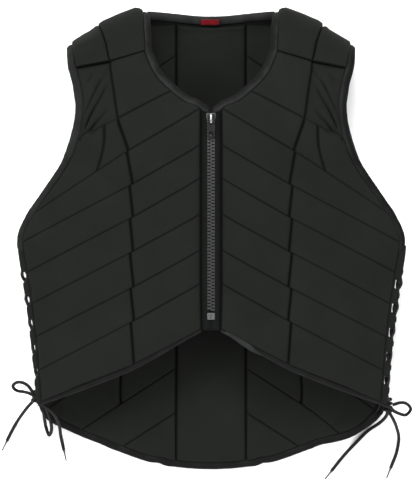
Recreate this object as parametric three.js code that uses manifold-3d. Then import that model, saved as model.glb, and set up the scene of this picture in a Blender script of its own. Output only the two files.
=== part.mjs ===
// Padded body protector for riders, lying on its back with the zip closed and both sides laced.
// Millimetres, +Z up. +Y points to the collar and +X to the photo's right. The origin is on the
// floor, midway between the sides and midway along the length.
import * as THREE from 'three';
import { mergeVertices } from 'three/addons/utils/BufferGeometryUtils.js';
import Module from 'manifold-3d';

const wasm = await Module();
wasm.setup();

// Driving dimensions
const LENGTH = 626; // shoulder crown to tail, bindings included
const HALF_WIDTH = 263; // centre line to the side lacing
const CHEST_HEIGHT = 112; // floor to the highest pad of the chest
const SIDE_HEIGHT = 58; // floor to the front panels' side edges
const BACK_LIFT = 32; // rise of the back panel's side edges
const BACK_FLAT = 160; // half width of the back panel that lies flat
const PAD = 13; // thickness of the padded blocks
const CHANNEL = 5; // thickness along the sewn channels and edges
const SOFT = 4; // thickness of the unpadded zone by the armhole
const BEVEL = 7; // width of a pad's rounded border
const ROLL = 9; // diameter of the edge rolls
const TAIL_ROLL = 8; // diameter of the edge roll on the back's hem
const ZIP_GAP = 12.5; // centre line to the front panels' inner edges
const CLEAR = 0.4; // gap between neighbouring pieces
const ROLL_GAP = 0.65; // gap between a panel's edge and its roll
const BEND = 31; // height of the shoulder bend's centre above the floor
const FRONT_CURVE = 2.6; // how suddenly the front falls towards its sides, as a power
const BACK_CURVE = 1.8; // how suddenly the back rises towards its sides, as a power
const FACES = 6; // faces round the edge rolls, the lace loops and the held laces

const LACE = 4.5; // diameter of the laces
const LOOP_RADIUS = 5.4; // outer radius of the lace loops
const LOOP_HOLE = 3.7; // inner radius of the lace loops
const LOOP_LENGTH = 7; // length of a lace loop along the edge
const LOOP_PITCH = 32; // spacing of the lace loops
const LOOP_COUNT = 6;
const LOOP_MARGIN = 1.5; // how far the lace runs straight before and after a loop
const FIRST_LOOP = -33; // where along Y the topmost loops are
const EDGE_TAPE = 3; // width of the tape that carries the loops
const EDGE_TAPE_HEIGHT = 6; // height of that tape's section
const KNOT = 14; // diameter of the bows' knots
const KNOT_STEM = 3; // how far a lace runs straight out of its knot

const TAPE = 1.4; // thickness of the zip tape
const CHAIN = 5.2; // half width of the closed zip chain
const CHAIN_HEIGHT = 3.2; // thickness of the zip chain
const ZIP_DROP = 11.532; // collar's lowest point down to the tape's upper end
const ZIP_RISE = 1.306; // front hem's lowest point up to the tape's lower end
const ZIP_STEP = 20; // spacing of the zip's sections
const RETAINER = 9; // length of the retainer box
const RETAINER_HEIGHT = 5; // thickness of the retainer box
const SLIDER_DROP = 7.5; // slider's middle below the tape's upper end
const SLIDER_LENGTH = 14;
const SLIDER_WIDTH = 13.4;
const SLIDER_PLATE = 1.7; // thickness of each slider plate
const SLIDER_GAP = 2.2; // space between the slider's plates
const SLIDER_POST = 4.7; // width of the post between the plates
const BRIDGE_WIDTH = 2.8;
const BRIDGE_LENGTH = 12;
const BRIDGE_HEIGHT = 5.4;
const BRIDGE_WALL = 1.7;
const BRIDGE_CORNER = 1.36; // size of the bridge's cut corners
const BRIDGE_ROOT = 0.5; // how deep the bridge's feet stand in the plate
const PULL_WIDTH = 9;
const PULL_LENGTH = 30; // hinge to the tab's far end
const PULL_THICKNESS = 1.5;
const PULL_BAR = 2.4; // width of the tab's bar under the bridge
const PULL_HOLE = 3; // radius of the tab's round hole
const PULL_HOLE_UP = 5.1; // the tab's far end to the hole's centre
const PULL_CORNER = 2; // size of the tab's cut corners
const WINDOW_LENGTH = 12.5; // length of the tab's window round the bridge

const LABEL_WIDTH = 28;
const LABEL_HEIGHT = 11;
const LABEL_THICKNESS = 1;

// The crest of the front along the centre line: at is a share of LENGTH, height of CHEST_HEIGHT.
const CREST = [
  { at: -0.40, height: 0.80 },
  { at: -0.19, height: 0.91 },
  { at: 0.00, height: 0.985 },
  { at: 0.14, height: 1.00 },
  { at: 0.25, height: 0.93 },
  { at: 0.33, height: 0.78 },
  { at: 0.39, height: 0.63 },
  { at: 0.47, height: 0.55 },
];

// The chevron seams of a front panel, top to hem. rise is where the line would cross the centre,
// as a share of LENGTH. fall and fallOut are its slopes inside and outside the long seam. neck is
// the inner edge beyond the zip, seam and side are the long seam and the outer edge, as shares of
// HALF_WIDTH. Whole numbers of line are seams, the halves only shape the outline.
const FRONT = [
  { at: 0.0, rise: 0.439, fall: 0.31, fallOut: 0.20, neck: 0.283, seam: 0.510, side: 0.681 },
  { at: 0.5, rise: 0.394, fall: 0.41, fallOut: 0.36, neck: 0.230, seam: 0.487, side: 0.648 },
  { at: 1.0, rise: 0.349, fall: 0.51, fallOut: 0.51, neck: 0.143, seam: 0.464, side: 0.671 },
  { at: 1.5, rise: 0.316, fall: 0.55, fallOut: 0.58, neck: 0.078, seam: 0.437, side: 0.738 },
  { at: 2.0, rise: 0.282, fall: 0.58, fallOut: 0.65, neck: 0.000, seam: 0.411, side: 0.886 },
  { at: 2.5, rise: 0.244, fall: 0.58, fallOut: 0.58, neck: 0.000, seam: 0.403, side: 0.935 },
  { at: 3.0, rise: 0.206, fall: 0.57, fallOut: 0.52, neck: 0.000, seam: 0.397, side: 0.948 },
  { at: 4.0, rise: 0.137, fall: 0.57, fallOut: 0.52, neck: 0.000, seam: 0.395, side: 0.926 },
  { at: 5.0, rise: 0.062, fall: 0.55, fallOut: 0.52, neck: 0.000, seam: 0.395, side: 0.903 },
  { at: 6.0, rise: -0.013, fall: 0.55, fallOut: 0.515, neck: 0.000, seam: 0.393, side: 0.884 },
  { at: 7.0, rise: -0.083, fall: 0.56, fallOut: 0.53, neck: 0.000, seam: 0.392, side: 0.868 },
  { at: 8.0, rise: -0.181, fall: 0.53, fallOut: 0.41, neck: 0.000, seam: 0.392, side: 0.855 },
];

// The rows of the back panel, collar to tail. rise is the row's height along the centre column's
// edge and dip how far its middle lies below that, as shares of LENGTH. fall is its slope outside
// the column, seam and side are the outer seam and the edge, as shares of HALF_WIDTH.
const BACK = [
  { at: -1, rise: 0.466, dip: 0.007, fall: -0.14, seam: 0.464, side: 0.680 },
  { at: 0, rise: 0.447, dip: 0, fall: 0.52, seam: 0.464, side: 0.676 },
  { at: 1, rise: 0.393, dip: 0, fall: 0.65, seam: 0.464, side: 0.665 },
  { at: 2, rise: 0.297, dip: 0, fall: 0.65, seam: 0.464, side: 0.757 },
  { at: 2.5, rise: 0.249, dip: 0, fall: 0.65, seam: 0.464, side: 0.905 },
  { at: 3, rise: 0.201, dip: 0, fall: 0.65, seam: 0.464, side: 0.945 },
  { at: 4, rise: 0.105, dip: 0, fall: 0.65, seam: 0.464, side: 0.923 },
  { at: 5, rise: 0.008, dip: 0, fall: 0.65, seam: 0.464, side: 0.897 },
  { at: 6, rise: -0.088, dip: 0, fall: 0.65, seam: 0.464, side: 0.875 },
  { at: 7, rise: -0.184, dip: 0, fall: 0.65, seam: 0.460, side: 0.850 },
  { at: 8, rise: -0.280, dip: 0, fall: 0.65, seam: 0.440, side: 0.668 },
  { at: 8.5, rise: -0.328, dip: 0, fall: 0.65, seam: 0.400, side: 0.559 },
  { at: 9, rise: -0.376, dip: 0, fall: 0.64, seam: 0.340, side: 0.454 },
  { at: 9.5, rise: -0.445, dip: 0.002, fall: 0.50, seam: 0.270, side: 0.304 },
  { at: 10, rise: -0.481, dip: 0.005, fall: -0.10, seam: 0.205, side: 0.225 },
];
const COLUMN = 0.179; // half width of the back's centre column, as a share of HALF_WIDTH
const NAPE = 0.322; // half width of the back's upper edge, as a share of HALF_WIDTH
const NAPE_BEND = 0.95; // how far the nape may go round its bend, as a share of the radius

// The columns of a shoulder, neck side to arm side, as shares of HALF_WIDTH where it meets the
// front, at its crown and where it meets the back. crown is the crown's Y as a share of LENGTH.
const SHOULDER = [
  { front: 0.330, top: 0.350, back: 0.326, crown: 0.4905, padded: 0 },
  { front: 0.357, top: 0.377, back: 0.353, crown: 0.496, padded: 1 },
  { front: 0.420, top: 0.457, back: 0.408, crown: 0.483, padded: 1 },
  { front: 0.485, top: 0.540, back: 0.440, crown: 0.468, padded: 1 },
  { front: 0.510, top: 0.563, back: 0.464, crown: 0.460, padded: 0 },
  { front: 0.537, top: 0.586, back: 0.490, crown: 0.451, padded: 1 },
  { front: 0.600, top: 0.640, back: 0.580, crown: 0.437, padded: 1 },
  { front: 0.655, top: 0.680, back: 0.650, crown: 0.427, padded: 1 },
  { front: 0.681, top: 0.704, back: 0.676, crown: 0.420, padded: 0 },
];

// The bows' knots, and the free laces' routes, chosen by hand. A route leaves the knot in the
// direction of leave, runs through its points and, where it is a loop, comes back at arrive.
const KNOTS = { left: [-232, -212, 49], right: [235.5, -224.5, 47] };
const LACE_ROUTES = {
  bow_loop_left: {
    leave: [-0.6, 0.7, 0.38],
    points: [
      [-244.5, -197, 50], [-253, -193, 45], [-261.5, -194, 37], [-266, -199.5, 29],
      [-261.5, -205, 24], [-252, -206.5, 27], [-245, -207.5, 37],
    ],
    arrive: [-0.8, 0.3, -0.5],
  },
  bow_drop_left: {
    leave: [0.2, -0.85, -0.48],
    points: [
      [-225, -231, 38], [-224, -246, 18], [-222.5, -257, 7.5], [-218.5, -266, 13],
      [-214.5, -258, 24], [-215, -246, 34], [-219, -231, 44],
    ],
    arrive: [0.75, -0.55, 0.36],
  },
  lace_end_left_outer: {
    leave: [-0.62, -0.65, -0.44],
    points: [[-246, -227, 37], [-257, -241, 15], [-265, -253, 3.4], [-271, -264, 2.6], [-276, -274, 2.6]],
  },
  lace_end_left_inner: {
    leave: [0.1, -0.36, 0.93],
    points: [
      [-224, -222, 58], [-211, -233, 53], [-204, -250, 32], [-203, -266, 9], [-201, -278, 2.6],
      [-199, -287, 2.6],
    ],
  },
  bow_loop_right: {
    leave: [0.95, 0.25, 0.2],
    points: [[253, -220, 46], [262, -222, 38], [268, -230, 31], [262, -237, 32], [252, -235, 41]],
    arrive: [0.8, -0.6, 0.05],
  },
  lace_end_right_outer: {
    leave: [0.3, -0.9, 0.3],
    points: [[244, -243, 42], [250, -256, 22], [254, -271, 4], [251, -290, 2.6], [243, -311, 2.6]],
  },
  lace_end_right_inner: {
    leave: [0.1, -0.7, -0.7],
    points: [
      [235, -240, 26], [227, -250, 10], [212, -261, 3.4], [198, -275, 2.6], [180, -294, 2.6],
      [163, -315, 2.6],
    ],
  },
};
const TIP_LENGTH = 15; // length of the laces' hard tips
const TIP_DIAMETER = 3;
const LACE_STEP = 2.6; // spacing of the free laces' sections, in lace diameters
const LACE_FACES = 8; // faces round a free lace and its tip
const LACE_CROSSING = 3.4; // how far two crossing laces lie outside and inside their middle

// A column of a table at a value of its first column, with smooth slopes through its rows
function along(table, column, value) {
  const last = table.length - 1;
  let row = 0;
  while (row < last - 1 && value > table[row + 1].at) {
    row += 1;
  }
  const slope = (index) => {
    const before = table[Math.max(index - 1, 0)];
    const after = table[Math.min(index + 1, last)];
    return (after[column] - before[column]) / (after.at - before.at);
  };
  const start = table[row];
  const end = table[row + 1];
  const span = end.at - start.at;
  const t = THREE.MathUtils.clamp((value - start.at) / span, 0, 1);
  const rest = 1 - t;
  const fromStart = start[column] * (1 + 2 * t) + slope(row) * span * t;
  const fromEnd = end[column] * (1 + 2 * rest) - slope(row + 1) * span * rest;
  return fromStart * rest * rest + fromEnd * t * t;
}

// Heights of the middle surfaces of the front and the back
function frontHeight(x, y) {
  const crest = along(CREST, 'height', y / LENGTH) * CHEST_HEIGHT - PAD / 2;
  const edge = Math.min(SIDE_HEIGHT, crest);
  return crest - (crest - edge) * Math.abs(x / HALF_WIDTH) ** FRONT_CURVE;
}

function backHeight(x, y) {
  const across = Math.max(Math.abs(x) - BACK_FLAT, 0) / (HALF_WIDTH - BACK_FLAT);
  const flat = PAD / 2 + BACK_LIFT * across ** BACK_CURVE;
  const bend = shoulderBend(NAPE * HALF_WIDTH, SHOULDER[0].crown * LENGTH);
  const past = Math.min(Math.max(y - bend.start, 0), bend.radius * NAPE_BEND);
  return flat + bend.radius - Math.sqrt(bend.radius ** 2 - past ** 2);
}

// The bend over a shoulder, for one place across it
function shoulderBend(x, crown) {
  const low = PAD / 2;
  let start = crown - BEND - low;
  let high = frontHeight(x, start);
  start = crown - (high - low) / 2 - PAD / 2;
  high = frontHeight(x, start);
  return { start, radius: (high - low) / 2, centre: (high + low) / 2 };
}

// A closed body from triangles, with its faces turned outwards
function closedBody(positions, triangles) {
  let volume = 0;
  for (const [a, b, c] of triangles) {
    volume += positions[a].dot(new THREE.Vector3().crossVectors(positions[b], positions[c]));
  }
  const turned = volume < 0 ? triangles.map(([a, b, c]) => [a, c, b]) : triangles;
  const geometry = new THREE.BufferGeometry();
  const values = positions.flatMap((point) => [point.x, point.y, point.z]);
  geometry.setAttribute('position', new THREE.Float32BufferAttribute(values, 3));
  geometry.setIndex(turned.flat());
  return geometry;
}

// The unit normals of a grid of points
function gridNormals(points) {
  const rows = points.length - 1;
  const columns = points[0].length - 1;
  return points.map((line, i) => line.map((point, j) => {
    const down = points[Math.min(i + 1, rows)][j].clone().sub(points[Math.max(i - 1, 0)][j]);
    const over = line[Math.min(j + 1, columns)].clone().sub(line[Math.max(j - 1, 0)]);
    return over.cross(down).normalize().negate();
  }));
}

// A quilted slab on a grid of middle points: half is half its thickness at each of them, and used
// says which cells exist.
function slab(points, half, used = () => true) {
  const rows = points.length - 1;
  const columns = points[0].length - 1;
  const normals = gridNormals(points);
  const positions = [];
  const known = new Map();
  const corner = (i, j, side) => {
    const key = `${i} ${j} ${side}`;
    if (!known.has(key)) {
      known.set(key, positions.length);
      positions.push(points[i][j].clone().addScaledVector(normals[i][j], side * half[i][j]));
    }
    return known.get(key);
  };
  const isUsed = (i, j) => i >= 0 && j >= 0 && i < rows && j < columns && used(i, j);
  const triangles = [];
  const quad = (a, b, c, d) => triangles.push([a, b, c], [a, c, d]);
  for (let i = 0; i < rows; i += 1) {
    for (let j = 0; j < columns; j += 1) {
      if (!isUsed(i, j)) {
        continue;
      }
      const ring = [[i, j], [i + 1, j], [i + 1, j + 1], [i, j + 1]];
      quad(...ring.map(([a, b]) => corner(a, b, 1)));
      quad(...ring.map(([a, b]) => corner(a, b, -1)).reverse());
      const beyond = [[i, j - 1], [i + 1, j], [i, j + 1], [i - 1, j]];
      beyond.forEach(([a, b], k) => {
        if (!isUsed(a, b)) {
          const [from, to] = [ring[k], ring[(k + 1) % 4]];
          quad(corner(...to, 1), corner(...from, 1), corner(...from, -1), corner(...to, -1));
        }
      });
    }
  }
  return closedBody(positions, triangles);
}

// The stations along a grid's edge: a point, the way out and the way up. cells lists pairs of an
// edge point and its inner neighbour.
function edgeStations(points, cells) {
  const normals = gridNormals(points);
  return cells.map(([i, j, inI, inJ]) => {
    const at = points[i][j];
    const up = normals[i][j];
    const out = at.clone().sub(points[inI][inJ]);
    return { at, up, out: out.addScaledVector(up, -out.dot(up)).normalize() };
  });
}

// Turns each station's way out square to the path through them, with up on the same side of it
function squared(stations) {
  return stations.map((station, k) => {
    const before = stations[Math.max(k - 1, 0)].at;
    const after = stations[Math.min(k + 1, stations.length - 1)].at;
    const ahead = after.clone().sub(before).normalize();
    const out = station.out.clone().addScaledVector(ahead, -station.out.dot(ahead)).normalize();
    const up = station.up.clone().addScaledVector(ahead, -station.up.dot(ahead));
    up.addScaledVector(out, -up.dot(out)).normalize();
    const turned = new THREE.Vector3().crossVectors(out, ahead).dot(up) < 0;
    return { at: station.at, out, up: turned ? up.negate() : up };
  });
}

// A section of [out, up] offsets, carried along stations and closed at both ends
function sweep(stations, section) {
  const positions = stations.flatMap(({ at, out, up }) => section.map(([across, above]) => (
    at.clone().addScaledVector(out, across).addScaledVector(up, above)
  )));
  const sides = section.length;
  const triangles = [];
  for (let k = 0; k + 1 < stations.length; k += 1) {
    for (let s = 0; s < sides; s += 1) {
      const next = (s + 1) % sides;
      const [a, b] = [k * sides + s, k * sides + next];
      triangles.push([a, b, b + sides], [a, b + sides, a + sides]);
    }
  }
  const end = (stations.length - 1) * sides;
  for (let s = 1; s + 1 < sides; s += 1) {
    triangles.push([0, s + 1, s], [end, end + s, end + s + 1]);
  }
  return closedBody(positions, triangles);
}

// The round section of an edge roll that lies against the edge, and a flat one
function rollSection(diameter) {
  const radius = diameter / 2;
  const centre = ROLL_GAP + radius * Math.cos(Math.PI / FACES);
  return Array.from({ length: FACES }, (_, k) => {
    const angle = (k + 0.5) / FACES * Math.PI * 2;
    return [centre + Math.cos(angle) * radius, Math.sin(angle) * radius];
  });
}

function flatSection(from, to, height) {
  return [[from, -height / 2], [to, -height / 2], [to, height / 2], [from, height / 2]];
}

// The places of a row's lines: its seams, the borders of its pads and any lines between
function rowLines(table, whole, between = []) {
  const lines = [];
  for (let k = whole[0]; k < whole[1]; k += 1) {
    const height = (along(table, 'rise', k) - along(table, 'rise', k + 1)) * LENGTH;
    const border = BEVEL / height;
    lines.push(k, k + border, ...between.filter((at) => at > k && at < k + 1), k + 1 - border);
  }
  return [...lines, whole[1]];
}

// Front panels: the lines and columns of one side, with the side as +1 or -1
const FRONT_LINES = rowLines(FRONT, [0, 8], [0.5, 1.5, 2.5]);
const SHORT_SEAM = 0.32; // where the short seam lies between the long seam and the armhole
function frontPoint(line, x, side) {
  const seam = along(FRONT, 'seam', line) * HALF_WIDTH;
  const inside = Math.min(x, seam) * along(FRONT, 'fall', line);
  const outside = Math.max(x - seam, 0) * along(FRONT, 'fallOut', line);
  const y = along(FRONT, 'rise', line) * LENGTH - inside - outside;
  return new THREE.Vector3(x * side, y, frontHeight(x, y));
}

function frontColumns(line) {
  const inner = ZIP_GAP + Math.max(along(FRONT, 'neck', line), 0) * HALF_WIDTH;
  const seam = along(FRONT, 'seam', line) * HALF_WIDTH;
  const outer = along(FRONT, 'side', line) * HALF_WIDTH;
  const short = seam + (outer - seam) * SHORT_SEAM;
  return [
    inner, inner + BEVEL, seam - BEVEL, seam,
    seam + BEVEL, short, (short + outer) / 2, outer - BEVEL, outer,
  ];
}
const FRONT_SEAM = 3; // index of the long seam among the columns
const FRONT_SHORT = 5; // index of the short seam
const FRONT_LAST = 8; // index of the outer edge

function frontGrid(side) {
  const points = FRONT_LINES.map((line) => (
    frontColumns(line).map((x) => frontPoint(line, x, side))
  ));
  const half = FRONT_LINES.map((line) => frontColumns(line).map((x, column) => {
    const onEdge = column === 0 || column === FRONT_SEAM || column === FRONT_LAST;
    const onShort = column === FRONT_SHORT && line > 1 && line < 2;
    const soft = column > FRONT_SEAM && line < 1;
    if (Number.isInteger(line) || onEdge || onShort) {
      return CHANNEL / 2;
    }
    return (soft ? SOFT : PAD) / 2;
  }));
  return { points, half };
}

// Back panel
const BACK_LINES = [-1, -0.5, ...rowLines(BACK, [0, 10], [2.5, 8.5, 9.5])];
function backColumns(line) {
  const column = COLUMN * HALF_WIDTH;
  const seam = along(BACK, 'seam', line) * HALF_WIDTH;
  const outer = along(BACK, 'side', line) * HALF_WIDTH;
  const nape = column + (seam - column) * (NAPE - COLUMN) / (BACK[0].seam - COLUMN);
  const border = Math.min(BEVEL, (outer - seam) / 3);
  const inside = Math.min(BEVEL, (nape - column) / 3);
  const right = [
    column - BEVEL, column, column + inside, nape, seam, (seam + outer) / 2,
    outer - border, outer,
  ];
  return [...right.map((x) => -x).reverse(), 0, ...right];
}
const BACK_COLUMNS = 16; // cells across the back panel
const MIDDLE = BACK_COLUMNS / 2; // index of the column on the centre line
const BACK_THIN = [0, 3, 6, 10, 13, 16]; // the columns that are seams or edges
const NAPE_CELLS = [4, 11]; // first and last cell of the upper edge

function backPoint(line, x) {
  const column = COLUMN * HALF_WIDTH;
  const beyond = Math.max(Math.abs(x) - column, 0);
  const within = 1 - Math.min(Math.abs(x) / column, 1) ** 2;
  const rise = along(BACK, 'rise', line) - along(BACK, 'dip', line) * within;
  const y = rise * LENGTH - beyond * along(BACK, 'fall', line);
  return new THREE.Vector3(x, y, backHeight(x, y));
}

function backGrid() {
  const points = BACK_LINES.map((line) => backColumns(line).map((x) => backPoint(line, x)));
  const half = BACK_LINES.map((line) => backColumns(line).map((x, column) => {
    const edge = line === -1 || line === 10 || column === 0 || column === BACK_COLUMNS;
    const seam = BACK_THIN.includes(column);
    const middle = Math.abs(column - MIDDLE) < 2;
    const nape = line === 0 && column > NAPE_CELLS[0] && column <= NAPE_CELLS[1];
    const cross = Number.isInteger(line) && !middle && !nape;
    return (edge || seam || cross ? CHANNEL : PAD) / 2;
  }));
  const used = (i, j) => i > 1 || (j >= NAPE_CELLS[0] && j <= NAPE_CELLS[1]);
  return { points, half, used };
}

// Shoulders: the lines run from the front seam round the bend to the back seam
const BEND_STEPS = 6;
const STRAP_START = 0.15; // how far across a column is at its first pad border, as a share
const STRAP_TURN = 1.3; // how fast a column moves across on its way round the bend
function shoulderGrid(side) {
  const lineShares = [0, 0, ...Array.from({ length: BEND_STEPS + 1 }, (_, k) => k / BEND_STEPS), 1, 1];
  const columns = SHOULDER.map((column) => {
    const crown = column.crown * LENGTH;
    const bend = shoulderBend(column.top * HALF_WIDTH, crown);
    const frontX = column.front * HALF_WIDTH;
    const backX = column.back * HALF_WIDTH;
    const topX = column.top * HALF_WIDTH;
    const frontY = frontPoint(0, frontX, 1).y + CLEAR;
    const backY = backPoint(0, backX).y + CLEAR;
    const border = (y) => Math.min(BEVEL, (bend.start - y) / 2);
    const flat = [
      [frontX, frontY], [THREE.MathUtils.lerp(frontX, topX, STRAP_START), frontY + border(frontY)],
    ].map(([x, y]) => new THREE.Vector3(x * side, y, frontHeight(x, y)));
    const curve = lineShares.slice(2, -2).map((share) => {
      const angle = share * Math.PI;
      const from = share < 0.5 ? frontX : backX;
      const x = THREE.MathUtils.lerp(topX, from, Math.abs(share - 0.5) * STRAP_TURN);
      const y = bend.start + Math.sin(angle) * bend.radius;
      return new THREE.Vector3(x * side, y, bend.centre + Math.cos(angle) * bend.radius);
    });
    const ends = [backY + border(backY), backY].map((y) => (
      new THREE.Vector3(backX * side, y, PAD / 2)
    ));
    return [...flat, ...curve, ...ends];
  });
  const points = lineShares.map((_, i) => columns.map((column) => column[i]));
  const half = points.map((line, i) => line.map((_, j) => {
    const seam = i === 0 || i === points.length - 1 || !SHOULDER[j].padded;
    return (seam ? CHANNEL : PAD) / 2;
  }));
  return { points, half };
}

// Materials: matt black cloth, lighter edge rolls, moulded zip, dull metal and a red label
const material = (color, roughness, metalness = 0) => (
  new THREE.MeshStandardMaterial({ color, roughness, metalness })
);
const cloth = () => material(0x282a28, 0.9);
const edging = () => material(0x333635, 0.85);
const cord = () => material(0x2b2d2c, 0.8);
const moulded = () => material(0x3c3d3d, 0.45);
const metal = () => material(0xc8c8c8, 0.3, 1);
const darkMetal = () => material(0x46484a, 0.45, 0.8);

const protector = new THREE.Group();
function addPiece(name, geometry, look, parent = protector) {
  const piece = new THREE.Mesh(geometry, look);
  piece.name = name;
  parent.add(piece);
  return piece;
}

// Joins closed bodies that overlap into one
function joined(geometries) {
  const solids = geometries.map((geometry) => {
    const bare = geometry.clone();
    bare.deleteAttribute('normal');
    bare.deleteAttribute('uv');
    const merged = mergeVertices(bare, 1e-4);
    const vertProperties = new Float32Array(merged.attributes.position.array);
    const triVerts = new Uint32Array(merged.index.array);
    return new wasm.Manifold(new wasm.Mesh({ numProp: 3, vertProperties, triVerts }));
  });
  const whole = solids.slice(1).reduce((sum, solid) => sum.add(solid), solids[0]).getMesh();
  const geometry = new THREE.BufferGeometry();
  geometry.setAttribute('position', new THREE.BufferAttribute(whole.vertProperties, 3));
  geometry.setIndex(new THREE.BufferAttribute(whole.triVerts, 1));
  return geometry;
}

// Panels and shoulders
const back = backGrid();
const sides = { left: -1, right: 1 };
const fronts = {};
const shoulders = {};
addPiece('back_panel', slab(back.points, back.half, back.used), cloth());
for (const [name, side] of Object.entries(sides)) {
  fronts[name] = frontGrid(side);
  shoulders[name] = shoulderGrid(side);
  addPiece(`front_panel_${name}`, slab(fronts[name].points, fronts[name].half), cloth());
  addPiece(`shoulder_${name}`, slab(shoulders[name].points, shoulders[name].half), cloth());
}

// The stations of the edges, each from its first to its last grid line
const indices = (from, to) => (
  Array.from({ length: Math.abs(to - from) + 1 }, (_, k) => from + k * Math.sign(to - from))
);
const lastFront = FRONT_LINES.length - 1;
const lastBack = BACK_LINES.length - 1;
const neckEnd = FRONT_LINES.indexOf(2);
const armEnd = FRONT_LINES.indexOf(3);
const backArmTop = BACK_LINES.indexOf(0);
const backArmEnd = BACK_LINES.indexOf(3);
const backSideEnd = BACK_LINES.indexOf(7);
const lastShoulder = 2 + BEND_STEPS + 2;
const lastAcross = SHOULDER.length - 1;
const napeMeet = lastShoulder - 4; // the shoulder's station where the nape's edge takes over
const backEdge = (side) => (side > 0 ? [BACK_COLUMNS, BACK_COLUMNS - 1] : [0, 1]);

// Neck roll: up one front edge, over the shoulder, along the nape and down the other side
function neckHalf(name) {
  const side = sides[name];
  const front = fronts[name].points;
  const strap = shoulders[name].points;
  const rise = edgeStations(front, indices(neckEnd, 0).map((i) => [i, 0, i, 1]));
  const over = edgeStations(strap, indices(1, napeMeet).map((i) => [i, 0, i, 1]));
  const nape = indices(side > 0 ? NAPE_CELLS[1] + 1 : NAPE_CELLS[0], MIDDLE);
  const collar = edgeStations(back.points, nape.map((j) => [0, j, 1, j]));
  return { rise, over, collar };
}
const leftNeck = neckHalf('left');
const rightNeck = neckHalf('right');
const NECK_END_SLOPE = 0.35; // how steeply the roll's ends run down to the zip
function neckTip(stations, side) {
  const first = stations[0];
  const at = first.at.clone();
  at.x = side * CLEAR * 3;
  at.y -= NECK_END_SLOPE * (ZIP_GAP - CLEAR * 3);
  return { at, up: first.up, out: new THREE.Vector3(0, 1, 0) };
}
const neckStations = [
  neckTip(leftNeck.rise, -1), ...leftNeck.rise, ...leftNeck.over, ...leftNeck.collar,
  ...rightNeck.collar.reverse().slice(1), ...rightNeck.over.reverse(),
  ...rightNeck.rise.reverse(), neckTip(rightNeck.rise.slice(-1), 1),
];
addPiece('neck_binding', sweep(squared(neckStations), rollSection(ROLL)), edging());

for (const [name, side] of Object.entries(sides)) {
  const front = fronts[name].points;
  const strap = shoulders[name].points;
  const [edge, inner] = backEdge(side);
  const armhole = [
    ...edgeStations(front, indices(armEnd, 1).map((i) => [i, FRONT_LAST, i, FRONT_LAST - 1])),
    ...edgeStations(strap, indices(2, lastShoulder - 2).map((i) => [i, lastAcross, i, lastAcross - 1])),
    ...edgeStations(back.points, indices(backArmTop, backArmEnd).map((i) => [i, edge, i, inner])),
  ];
  addPiece(`armhole_binding_${name}`, sweep(squared(armhole), rollSection(ROLL)), edging());

  const hem = edgeStations(front, indices(0, FRONT_LAST).map((j) => [lastFront, j, lastFront - 1, j]));
  addPiece(`hem_binding_${name}`, sweep(squared(hem), rollSection(ROLL)), edging());
}

const tail = [
  ...edgeStations(back.points, indices(backSideEnd, lastBack).map((i) => [i, 0, i, 1])),
  ...edgeStations(back.points, indices(1, BACK_COLUMNS - 1).map((j) => [lastBack, j, lastBack - 1, j])),
  ...edgeStations(back.points, indices(lastBack, backSideEnd).map((i) => [
    i, BACK_COLUMNS, i, BACK_COLUMNS - 1,
  ])),
];
addPiece('tail_binding', sweep(squared(tail), rollSection(TAIL_ROLL)), edging());

// Open sides: an edge tape with lace loops on each of the four edges
const TAPE_OUT = CLEAR + EDGE_TAPE; // panel edge to the tape's outer face
const LOOP_OUT = TAPE_OUT + LOOP_RADIUS - 1; // panel edge to a loop's centre
function stationAt(stations, y) {
  const next = stations.findIndex((station) => station.at.y < y);
  const [before, after] = [stations[next - 1], stations[next]];
  const share = (before.at.y - y) / (before.at.y - after.at.y);
  const blend = (key) => before[key].clone().lerp(after[key], share);
  return { at: blend('at'), out: blend('out').normalize(), up: blend('up').normalize() };
}

function polygon(radius, sides, centreY = 0) {
  return Array.from({ length: sides }, (_, k) => {
    const angle = (k + 0.5) / sides * Math.PI * 2;
    return new THREE.Vector2(Math.cos(angle) * radius, Math.sin(angle) * radius + centreY);
  });
}

function loopCentres(stations) {
  return Array.from({ length: LOOP_COUNT }, (_, k) => {
    const station = stationAt(stations, FIRST_LOOP - k * LOOP_PITCH);
    const ahead = new THREE.Vector3().crossVectors(station.out, station.up).normalize();
    if (ahead.y > 0) {
      ahead.negate();
    }
    const centre = station.at.clone().addScaledVector(station.out, LOOP_OUT);
    return { ...station, ahead, centre };
  });
}

function loopTape(stations) {
  const ring = new THREE.Shape(polygon(LOOP_RADIUS, FACES));
  ring.holes.push(new THREE.Path(polygon(LOOP_HOLE, FACES)));
  const loops = loopCentres(stations).map(({ centre, out, ahead }) => {
    const loop = new THREE.ExtrudeGeometry(ring, { depth: LOOP_LENGTH, bevelEnabled: false });
    loop.translate(0, 0, -LOOP_LENGTH / 2);
    const frame = new THREE.Matrix4().makeBasis(out, ahead.clone().cross(out), ahead);
    return loop.applyMatrix4(frame.setPosition(centre));
  });
  return joined([sweep(stations, flatSection(CLEAR, TAPE_OUT, EDGE_TAPE_HEIGHT)), ...loops]);
}

// A lace: a round section along a route, through every point of it or evenly spaced
class PointRoute extends THREE.Curve {
  constructor(points) {
    super();
    this.points = points;
  }

  getPoint(t, target = new THREE.Vector3()) {
    const place = t * (this.points.length - 1);
    const start = Math.min(Math.floor(place), this.points.length - 2);
    return target.lerpVectors(this.points[start], this.points[start + 1], place - start);
  }

  getPointAt(u, target) {
    return this.getPoint(u, target);
  }

  getTangentAt(u, target = new THREE.Vector3()) {
    const reach = 0.5 / (this.points.length - 1);
    const before = this.getPoint(Math.max(u - reach, 0));
    return target.copy(this.getPoint(Math.min(u + reach, 1))).sub(before).normalize();
  }
}

function lace(route, steps, faces) {
  const section = new THREE.Shape(polygon(LACE / 2, faces));
  return new THREE.ExtrudeGeometry(section, { steps, bevelEnabled: false, extrudePath: route });
}

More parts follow.
